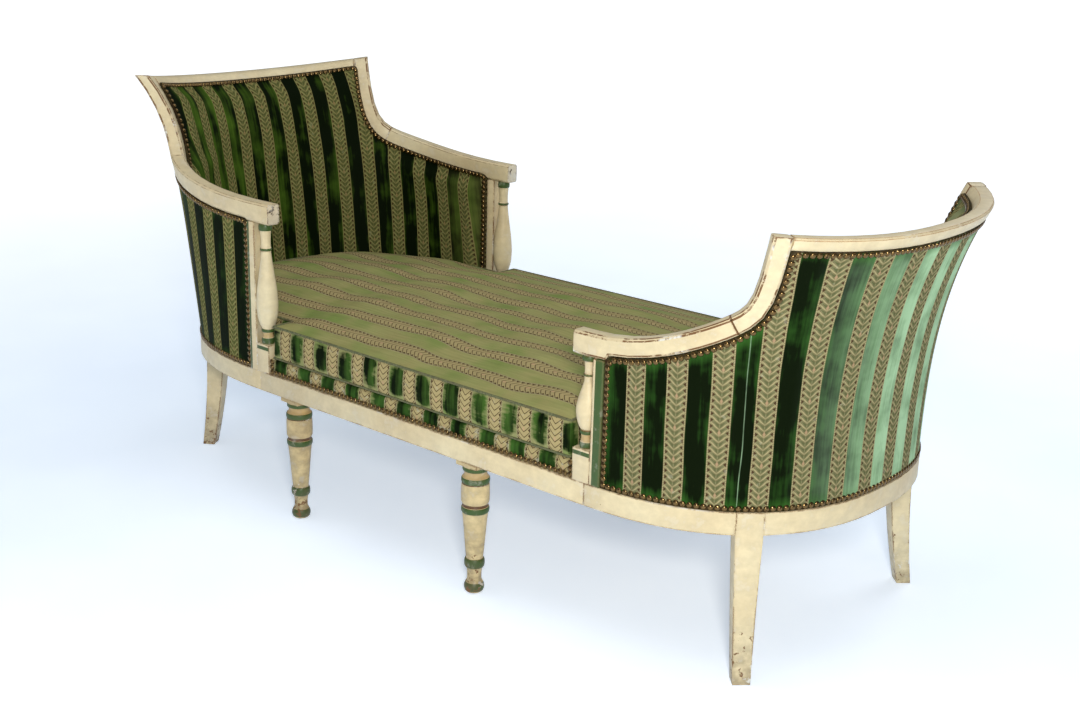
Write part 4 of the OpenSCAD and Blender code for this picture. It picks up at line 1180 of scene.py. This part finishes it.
def simulate(piece, pinned, pressure, cap, frames=20):
    """Blows a closed cover up a little with Blender's cloth, and caps how far each point may move."""
    start = coords(piece)
    group = piece.vertex_groups.new(name="held")
    group.add([int(k) for k in np.nonzero(pinned)[0]], 1.0, "REPLACE")
    take(piece)
    modifier = piece.modifiers.new("Cloth", "CLOTH")
    cloth = modifier.settings
    set_all(cloth, {"quality": 4, "mass": 0.25, "tension_stiffness": 18, "compression_stiffness": 12,
                    "shear_stiffness": 6, "bending_stiffness": 1.5, "use_pressure": True,
                    "uniform_pressure_force": pressure, "vertex_group_mass": "held"})
    cloth.effector_weights.gravity = 0
    modifier.collision_settings.use_collision = False
    set_all(modifier.point_cache, {"frame_start": 1, "frame_end": frames})
    for number in range(1, frames + 1):
        bpy.context.scene.frame_set(number)
    bpy.ops.object.modifier_apply(modifier=modifier.name)
    bpy.context.scene.frame_set(1)
    moved = coords(piece) - start
    far = np.linalg.norm(moved, axis=1, keepdims=True)
    moved *= np.minimum(1, cap / np.maximum(far, 1e-9))
    moved[~np.isfinite(moved)] = 0
    piece.data.vertices.foreach_set("co", (start + moved).ravel())
    piece.data.update()
    piece.vertex_groups.clear()


def subdivide_soft(piece):
    apply_modifier(piece, "SUBSURF", levels=1, render_levels=1)
    soften(piece)


class RECAMIER_OT_outer_covers(bpy.types.Operator):
    """Stretches the striped covers over the outside of both ends"""

    bl_idname = "recamier.outer_covers"
    bl_label = "Outer covers"

    def execute(self, context):
        for end in ENDS:
            columns, rows = 190, 52 if end is HEAD else 44
            t, z = end.grid(COVER_EDGE, RAIL_TOP + SOFT_GAP, columns, rows)
            points = end.wall(t, z, -COVER_IN - 0.0004).reshape(-1, 3)
            uv = np.stack([end.across(t), end.height(t, z)], -1).reshape(-1, 2)
            piece = new_mesh(f"{end.name}_cover_cloth", points, net_faces(columns, rows, 0, end is HEAD), uv)
            mark_edge(piece, nearest(points, end.outline(COVER_EDGE, RAIL_TOP, -COVER_IN)))
            area = sum(f.area for f in piece.data.polygons)
            apply_modifier(piece, "SOLIDIFY", thickness=CLOTH_T, offset=-1)
            soften(piece, 60)
            finish_piece(piece, f"{end.name}_outer_cover", "striped_velvet", f"{end.name}_wall")
            tall = end.crest_z - RAIL_TOP
            wide = max(float(np.ptp(end.across(t))), area / tall)
        return {"FINISHED"}


class RECAMIER_OT_inner_pads(bpy.types.Operator):
    """Sews the padded linings of both ends, nailed round their edges"""

    bl_idname = "recamier.inner_pads"
    bl_label = "Inner pads"

    def execute(self, context):
        for end in ENDS:
            columns, rows = 132, 40 if end is HEAD else 34
            t, z = end.grid(-PAD_LAP, PAD_Z, columns, rows)
            flat = end.wall(t, z, PAD_FACE).reshape(-1, 3)
            d = nearest(flat, end.outline(-PAD_LAP, PAD_Z, PAD_FACE))
            swell = 1 - (1 - np.clip((d - PAD_MARGIN) / PAD_RISE, 0, 1)) ** 3
            share = 0.86
            rise = PAD_CROWN * share * swell + 0.0008 * soft_noise(flat, 34, 7) * swell
            front = end.wall(t, z, PAD_FACE - rise.reshape(t.shape)).reshape(-1, 3)
            back = end.wall(t, z, PAD_NEAR).reshape(-1, 3)
            n = len(front)
            flip = end is HEAD
            index = np.arange(n).reshape(columns, rows)
            rim = np.concatenate([index[:, 0], index[-1, 1:], index[-2::-1, -1], index[0, -2:0:-1]])
            edge_faces = [(a, b, b + n, a + n) for a, b in zip(rim.tolist(), np.roll(rim, -1).tolist())]
            faces = net_faces(columns, rows, 0, not flip) + net_faces(columns, rows, n, flip)
            faces += [f[::-1] for f in edge_faces] if flip else edge_faces
            uv = np.stack([end.straight(t, z), end.height(t, z)], -1).reshape(-1, 2)
            piece = new_mesh(f"{end.name}_lining", np.vstack([front, back]), faces, np.vstack([uv, uv]))
            mark_edge(piece, np.concatenate([d, d]))
            held = np.concatenate([d < PAD_MARGIN * 0.9, np.ones(n, bool)])
            simulate(piece, held, pressure=2.2, cap=0.005)
            subdivide_soft(piece)
            finish_piece(piece, f"{end.name}_inner_pad", "striped_velvet", f"{end.name}_lining")
        return {"FINISHED"}


class RECAMIER_OT_seat_bands(bpy.types.Operator):
    """Covers the padded bands between the seat rails and the mattress"""

    bl_idname = "recamier.seat_bands"
    bl_label = "Seat bands"

    def execute(self, context):
        for side, y in SIDES.items():
            node = f"seat_band_{side}"
            low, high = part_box(node)
            out = low.y if side == "front" else high.y
            z0, z1 = low.z, high.z
            section = [(0.016, z0 + 0.0004), (0.0008, z0 + 0.0004), (0.0006, z0 + 0.004), (0.0006, z0 + 0.010),
                       (0.0002, z0 + 0.018), (0.0006, z0 + 0.026), (0.0020, z1 - 0.0050),
                       (0.0046, z1 - 0.0018), (0.0085, z1 - 0.0006), (0.016, z1 - 0.0004)]
            inward, height = np.array(section).T
            xs = np.linspace(low.x + 0.0004, high.x - 0.0004, 150)
            wobble = soft_noise(np.stack([xs, 0 * xs, 0 * xs], 1), 60, 11) * 0.0004
            puff = wobble[:, None] * ((height > z0 + 0.012) & (inward < 0.01))
            depth = np.maximum(0.0, inward + puff)
            points = np.stack(np.broadcast_arrays(xs[:, None], out - y * depth, height), -1).reshape(-1, 3)
            uv = np.stack(np.broadcast_arrays(xs[:, None], lengths(section)), -1).reshape(-1, 2)
            m, last = len(section), len(points)
            faces = hoop_faces(len(xs), m) + [range(m), range(last - m, last)]
            piece = new_mesh(node + "_cloth", points, faces, uv)
            edit(piece)
            leave(outward=True)
            soften(piece, 60)
            finish_piece(piece, node, "striped_velvet", "band")
        return {"FINISHED"}


class SeatNet:
    """A net of square meshes over the plan of the seat, with the steps beside the arms."""

    def __init__(self, edge, inside, step):
        wide, narrow = HALF_W - edge, HALF_W - inside
        rows = int(round(2 * narrow / step))
        rows += rows % 2
        strip = max(2, int(round((wide - narrow) / step)))
        inner = np.linspace(-narrow, narrow, rows + 1)
        outer = np.linspace(narrow, wide, strip + 1)[1:]
        ys = np.concatenate([-outer[::-1], inner, outer])
        lows = [HEAD.axis + NOTCH, FOOT.axis - NOTCH]
        xs = np.linspace(*lows, int(round((lows[1] - lows[0]) / step)) + 1)
        head, foot = (self.end_block(end, x, narrow, inside, inner / narrow, step) for end, x in zip(ENDS, lows))
        columns = head[::-1] + [np.stack([np.full(len(inner), x), inner], 1) for x in xs] + foot
        points, index = [], {}
        for c, column in enumerate(columns):
            in_bay = len(head) <= c < len(head) + len(xs)
            for r, y in enumerate(ys):
                if 0 <= r - strip <= rows:
                    index[c, r] = len(points)
                    points.append(tuple(column[r - strip]))
                elif in_bay:
                    index[c, r] = len(points)
                    points.append((column[0][0], y))
        self.points = np.array(points)
        self.faces = []
        for c in range(len(columns) - 1):
            for r in range(len(ys) - 1):
                keys = [(c, r), (c + 1, r), (c + 1, r + 1), (c, r + 1)]
                if all(k in index for k in keys):
                    self.faces.append([index[k] for k in keys])
        self.loop = self.outline()

    def end_block(self, end, x0, narrow, inside, v, step):
        """Columns of a rounded end, from the notch outwards, warped from a half square."""
        arc = end.wall(np.linspace(84, -84, 169), 0.0, -inside)[:, :2]
        line = np.vstack([[x0, narrow], arc, [x0, -narrow]])
        reach = np.abs(line[:, 0] - x0)
        far = reach.max()
        nx, ny = reach / far, line[:, 1] / narrow
        angle = np.degrees(np.arctan2(ny, nx))
        order = np.argsort(angle)
        radius = np.hypot(nx, ny)
        n = int(round(far / step))
        out = []
        for u in (k / n for k in range(1, n + 1)):
            dx, dy = u * np.sqrt(1 - v * v / 2), v * math.sqrt(1 - u * u / 2)
            phi = np.degrees(np.arctan2(dy, dx))
            rho = np.hypot(dx, dy) * np.interp(phi, angle[order], radius[order])
            a = np.radians(phi)
            out.append(np.stack([x0 + end.side * rho * np.cos(a) * far, rho * np.sin(a) * narrow], 1))
        return out

    def outline(self):
        """Numbers of the points round the edge, in order."""
        sides = {(a, b) for f in self.faces for a, b in zip(f, f[1:] + f[:1])}
        follow = {a: b for a, b in sides if (b, a) not in sides}
        loop = [min(follow)]
        while follow[loop[-1]] != loop[0]:
            loop.append(follow[loop[-1]])
        return loop

    def edge_normals(self):
        d = directions(self.points[self.loop])
        return unit(np.stack([d[:, 1], -d[:, 0]], 1))


def cushion(name, net, z0, z1, crown, sides, waver):
    """A closed cushion over the net: a crowned top, a boxing in rows and a flat underside."""
    pucker_from_edge, seam_in = 0.05, 0.0025
    edge, normals = net.points[net.loop], net.edge_normals()
    d = nearest(net.points, edge)
    n, m = len(net.points), len(net.loop)
    flat = np.column_stack([net.points, np.zeros(n)])
    puckers = soft_noise(flat, 26, 5) + 0.45 * soft_noise(flat, 75, 9)
    top = z1 + crown * np.interp(d, CROWN_FROM_EDGE, CROWN_SHARE)
    top += waver * puckers * np.clip(d / pucker_from_edge, 0, 1)
    points = [np.column_stack([net.points, z]) for z in (top, np.full(n, z0))]
    points += [np.column_stack([edge - normals * inset, np.full(m, z0 + (z1 - z0) * share)])
               for inset, share in sides]
    points = np.vstack(points)
    rings = [net.loop] + [[2 * n + row * m + k for k in range(m)] for row in range(len(sides))]
    rings.append([n + k for k in net.loop])
    for ring in (rings[0], rings[-1]):
        points[ring, :2] -= normals * (sides[0][0] + seam_in)
    faces = net.faces + [[n + k for k in f[::-1]] for f in net.faces]
    flat_faces = len(faces)
    for a, b in zip(rings, rings[1:]):
        faces = faces + [(a[(k + 1) % m], a[k], b[k], b[(k + 1) % m]) for k in range(m)]
    piece = new_mesh(name, points, faces)

    # The stripes run across the top, and down the boxing by the length round it
    run = lengths(np.vstack([edge, edge[:1]]))
    along = {q: k for ring in rings for k, q in enumerate(ring)}
    values = np.zeros((len(piece.data.loops), 2))
    for number, face in enumerate(piece.data.polygons):
        boxing = number >= flat_faces
        closing = (number - flat_faces) % m == m - 1
        face.material_index = int(boxing)
        for corner in face.loop_indices:
            q = piece.data.loops[corner].vertex_index
            x, y, z = points[q]
            values[corner] = (run[along[q] or (m if closing else 0)], z - z0) if boxing else (y, x)
    piece.data.uv_layers.new(name="Cloth").data.foreach_set("uv", values.ravel())
    return piece, rings


def tube(name, line, radius, sides=7):
    """A closed cord of round section along a closed line."""
    d = unit(directions(line))
    across = unit(np.cross(d, [0, 0, 1.0]))
    lift = np.cross(across, d)
    turns = [2 * math.pi * k / sides for k in range(sides)]
    points = np.stack([line + radius * (math.cos(a) * across + math.sin(a) * lift) for a in turns], 1)
    piece = new_mesh(name, points.reshape(-1, 3), hoop_faces(len(line), sides, closed=True))
    edit(piece)
    leave(outward=True)
    soften(piece)
    return piece


def spaced(line, pitch):
    """Points along a closed line, a pitch apart."""
    closed = np.vstack([line, line[:1]])
    length = lengths(closed)
    at = np.linspace(0, length[-1], int(round(length[-1] / pitch)), endpoint=False)
    return np.stack([np.interp(at, length, closed[:, k]) for k in range(3)], 1)


class RECAMIER_OT_deck_pad(bpy.types.Operator):
    """Lays the thin padded deck between the webbing and the mattress"""

    bl_idname = "recamier.deck_pad"
    bl_label = "Deck pad"

    # How far each row of the side pulls in, and its share of the height
    sides = [(0.0025, 0.90), (0.0008, 0.70), (0.0012, 0.45), (0.0008, 0.22), (0.0030, 0.06)]

    def execute(self, context):
        low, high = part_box("seat_deck_pad")
        net = SeatNet(HALF_W - high.y, WALL_IN, 0.030)
        piece, _ = cushion("deck_pad_cloth", net, low.z, high.z - 0.0006, 0.0, self.sides, 0.0002)
        soften(piece)
        finish_piece(piece, "seat_deck_pad", "deck_cloth", "deck", "deck")
        return {"FINISHED"}


class RECAMIER_OT_mattress(bpy.types.Operator):
    """Sews the loose mattress with its boxing and its two rows of piping"""

    bl_idname = "recamier.mattress"
    bl_label = "Mattress and piping"

    # How far each row of the boxing pulls in, and its share of the height
    sides = [(0.0026, 0.955), (0.0010, 0.87), (0.0016, 0.72), (0.0030, 0.50), (0.0016, 0.28), (0.0010, 0.13),
             (0.0026, 0.045)]

    def execute(self, context):
        net = SeatNet(COVER_IN, WALL_IN, 0.0125)
        z0 = MATTRESS_LOW.z
        crown = MATTRESS_CROWN * 0.86
        piece, rings = cushion("mattress_cloth", net, z0, z0 + MATTRESS_H, crown, self.sides, 0.0034)
        n = len(net.points)
        held = np.zeros(len(piece.data.vertices), bool)
        held[n:2 * n] = True
        held[rings[0] + rings[-2]] = True
        simulate(piece, held, pressure=3.0, cap=0.006)
        top = coords(piece)[rings[0]]
        subdivide_soft(piece)
        finish_piece(piece, "mattress", "striped_velvet", "top", "boxing", body="mattress")
        bottom = top.copy()
        bottom[:, 2] = z0
        out = np.column_stack([net.edge_normals(), np.zeros(len(top))]) * PIPING_R
        pipes = [tube(name, spaced(line + out + [0, 0, up], PIPING_STEP), PIPING_R)
                 for name, line, up in (("piping_top", top, -0.0008), ("piping_bottom", bottom, 0.0028))]
        piping = joined(*pipes)
        piping.name = "mattress_piping_cord"
        finish_piece(piping, "mattress_piping", "green_piping", "piping", body="mattress")
        return {"FINISHED"}


# Nails

def nail_model(s):
    """One domed nail head: a sphere cut in half and flattened."""
    clear_selection()
    bpy.ops.mesh.primitive_uv_sphere_add(segments=10, ring_count=8, radius=s.width / 2)
    model = bpy.context.object
    edit(model)
    bpy.ops.mesh.bisect(plane_co=(0, 0, 0), plane_no=(0, 0, 1), clear_inner=True, use_fill=True)
    bpy.ops.mesh.select_all(action="SELECT")
    bpy.ops.transform.resize(value=(1, 1, 2 * s.height / s.width))
    leave()
    return model


def set_nails(part, model, places, normals):
    """Sets a nail head at each place, its back towards the cloth."""
    base = coords(model)
    shape = [tuple(f.vertices) for f in model.data.polygons]
    points, faces = [], []
    rng = np.random.default_rng(3)
    for at, n in zip(places, normals):
        facing = Vector((0, 0, 1)).rotation_difference(Vector(n)).to_matrix()
        spin = Matrix.Rotation(rng.uniform(0, 6.28), 3, "Z")
        tilt = Matrix.Rotation(rng.normal(0, 0.05), 3, "X")
        start = len(points)
        points.extend(base @ np.array(facing @ tilt @ spin).T + at)
        faces.extend(tuple(start + k for k in f) for f in shape)
    piece = new_mesh(part + "_nail_heads", points, faces)
    soften(piece, 60)
    finish_piece(piece, part + "_nail_rows", "nail_bronze", "bronze")


def along_wall(end, line, off, pitch, closed):
    """Places of nails, and the ways they face, along a line of angles and heights on the wall."""
    at = end.wall(line[:, 0], line[:, 1], off)
    keep = np.concatenate([[True], np.linalg.norm(np.diff(at, axis=0), axis=1) > 1e-7])
    line, length = line[keep], lengths(at[keep])
    count = int(round(length[-1] / pitch))
    s = np.linspace(0, length[-1], count + (0 if closed else 1), endpoint=not closed)
    t, z = np.interp(s, length, line[:, 0]), np.interp(s, length, line[:, 1])
    return end.wall(t, z, off), end.outward(t, z)


def round_panel(border, first, low):
    """Angles and heights up one post from low, round the panel's border, and down the other post."""
    line = border[np.abs(border[:, 0]) < first - 0.3]
    rise = np.column_stack([np.full(30, first), np.linspace(low, border[0, 1], 30)])
    return np.vstack([rise, line, (rise * [-1, 1])[::-1]])


class RECAMIER_OT_nails(bpy.types.Operator):
    """Drives the domed nails round every cover, inside and outside, and along the seat bands"""

    bl_idname = "recamier.nails"
    bl_label = "Nails"

    def execute(self, context):
        s = context.scene.recamier.nails
        model = nail_model(s)
        for end in ENDS:
            first = end.angle_at(POST_TO + 2 * NAIL_IN - 0.0055)
            low = RAIL_TOP + SOFT_GAP + NAIL_IN
            foot = np.column_stack([np.linspace(-first, first, 240), np.full(240, low)])
            outer = np.vstack([round_panel(end.border(COVER_EDGE + NAIL_IN), first, low), foot])
            inner = round_panel(end.border(-PAD_LAP + NAIL_IN), first, MATTRESS_LOW.z + 0.02)
            places, normals = along_wall(end, outer, -COVER_IN, s.pitch, True)
            inside, facing = along_wall(end, inner, PAD_FACE - 0.0002, s.pitch, False)
            set_nails(end.name, model, np.vstack([places, inside]), np.vstack([normals, -facing]))

        # One row along each seat band, with two more nails above each of its ends
        x0, x1, z0 = BAND_LOW.x + BAND_NAIL_IN, BAND_HIGH.x - BAND_NAIL_IN, BAND_LOW.z + BAND_NAIL_IN
        row = np.linspace(x0, x1, int(round((x1 - x0) / s.pitch)) + 1)
        spots = [(x, z0) for x in row] + [(x, z0 + k * BAND_NAIL_UP) for x in (x0, x1) for k in (1, 2)]
        places = [(x, y * (HALF_W - COVER_IN), z) for y in (-1, 1) for x, z in spots]
        normals = [(0, y, 0) for y in (-1, 1) for _ in spots]
        set_nails("seat", model, np.array(places), normals)
        bpy.data.objects.remove(model)
        return {"FINISHED"}


# Stage

def floor_finish(tone):
    """A pale floor with faint clouds, which glows more the further it is from the middle."""
    b = Finish("Plain floor")
    place = b.place()
    paler = [min(1.0, c * 1.08) for c in tone]
    distance = b.out("ShaderNodeVectorMath", {0: place}, "Value", operation="LENGTH")
    for key, value in {
            "Base Color": b.mix(b.noise(place, 3.0, 4.0, 0.6).range(0.3, 0.7), tone, paler),
            "Roughness": 0.75, "Specular IOR Level": 0.2, "Emission Strength": 1.0,
            "Emission Color": b.mix(distance.range(1.5, 5.0), (0.31, 0.38, 0.48), (0.95, 0.97, 1.0))}.items():
        b.put(b.shader.inputs[key], value)
    return b.material


class RECAMIER_OT_stage(bpy.types.Operator):
    """Lays the plain floor, hangs the soft lights and sets up the camera"""

    bl_idname = "recamier.stage"
    bl_label = "Stage"

    # Each light with its place, what it points at, its width, its share of the key light and its tint
    lights = [("top", (0.2, -0.5, 3.0), (0.1, 0, 0.4), 2.4, 0.36, (0.98, 0.99, 1.0)),
              ("key", (2.35, -2.45, 1.65), (0.2, 0, 0.5), 0.45, 1.0, (1.0, 0.97, 0.90)),
              ("fill", (-3.2, -2.6, 2.2), (-0.2, 0, 0.4), 2.4, 0.10, (0.95, 0.97, 1.0)),
              ("back", (0.5, 3.0, 2.8), (0, 0, 0.5), 2.2, 0.4, (0.95, 0.98, 1.0))]

    # The camera's place from the middle between the ends, and its angles in radians
    camera_at = (2.0792, -2.3797, 1.3483)
    yaw, pitch, roll = 0.716, 0.300, 0.028

    def execute(self, context):
        s = context.scene.recamier.stage
        clear_selection()
        bpy.ops.mesh.primitive_grid_add(x_subdivisions=12, y_subdivisions=12, size=80, location=(0, 0, -0.0004))
        floor = bpy.context.object
        floor.name = "studio_floor"
        settle()
        floor.data.materials.append(floor_finish(s.floor))
        world = bpy.data.worlds.new("Studio")
        context.scene.world = world
        world.use_nodes = True
        sky = world.node_tree.nodes["Background"].inputs
        sky["Color"].default_value = (0.90, 0.95, 1.0, 1)
        sky["Strength"].default_value = 0.22
        for name, at, towards, size, share, tint in self.lights:
            data = bpy.data.lights.new(name, "AREA")
            set_all(data, {"shape": "DISK", "size": size, "energy": s.key * share, "color": tint})
            light = new_object(name, data)
            light.location = at
            light.rotation_euler = (Vector(towards) - Vector(at)).to_track_quat("-Z", "Y").to_euler()
        data = bpy.data.cameras.new("camera")
        set_all(data, {"lens": s.lens, "sensor_width": 36})
        camera = new_object("camera", data)
        flat = math.cos(self.pitch)
        ahead = Vector((-math.sin(self.yaw) * flat, math.cos(self.yaw) * flat, -math.sin(self.pitch)))
        level = Vector((math.cos(self.yaw), math.sin(self.yaw), 0))
        right = level * math.cos(self.roll) + level.cross(ahead) * math.sin(self.roll)
        turned = Matrix((right, right.cross(ahead), -ahead)).transposed().to_4x4()
        middle = Vector(((HEAD.axis + FOOT.axis) / 2, 0, 0))
        camera.matrix_world = Matrix.Translation(middle + Vector(self.camera_at)) @ turned
        context.scene.camera = camera
        context.scene.view_settings.view_transform = "Standard"
        return {"FINISHED"}


OPERATORS = (
    RECAMIER_OT_seat_frame,
    RECAMIER_OT_turned_legs,
    RECAMIER_OT_sabre_legs,
    RECAMIER_OT_front_posts,
    RECAMIER_OT_balusters,
    RECAMIER_OT_end_frames,
    RECAMIER_OT_outer_covers,
    RECAMIER_OT_inner_pads,
    RECAMIER_OT_seat_bands,
    RECAMIER_OT_deck_pad,
    RECAMIER_OT_mattress,
    RECAMIER_OT_nails,
    RECAMIER_OT_stage,
)


class RECAMIER_PT_sidebar(bpy.types.Panel):
    """Lists the sizes, the finishes and the pieces"""

    bl_label = "Recamier"
    bl_idname = "RECAMIER_PT_sidebar"
    bl_space_type = "VIEW_3D"
    bl_region_type = "UI"
    bl_category = "Recamier"

    def draw(self, context):
        s = context.scene.recamier
        for label, group in (("Paint", s.paint), ("Fabric", s.fabric), ("Nails", s.nails), ("Stage", s.stage)):
            box = self.layout.box()
            box.label(text=label)
            for key in group.__annotations__:
                box.prop(group, key)
        for operator in OPERATORS:
            self.layout.operator(operator.bl_idname)


CLASSES = (PaintSettings, FabricSettings, NailSettings, StageSettings, RecamierSettings, *OPERATORS,
           RECAMIER_PT_sidebar)


def register():
    for c in CLASSES:
        bpy.utils.register_class(c)
    bpy.types.Scene.recamier = PointerProperty(type=RecamierSettings)


def unregister():
    del bpy.types.Scene.recamier
    for c in reversed(CLASSES):
        bpy.utils.unregister_class(c)


def main():
    register()
    bpy.ops.recamier.seat_frame()
    bpy.ops.recamier.turned_legs()
    bpy.ops.recamier.sabre_legs()
    bpy.ops.recamier.front_posts()
    bpy.ops.recamier.balusters()
    bpy.ops.recamier.end_frames()
    bpy.ops.recamier.outer_covers()
    bpy.ops.recamier.inner_pads()
    bpy.ops.recamier.seat_bands()
    bpy.ops.recamier.deck_pad()
    bpy.ops.recamier.mattress()
    bpy.ops.recamier.nails()
    bpy.ops.recamier.stage()


if __name__ == "__main__":
    main()
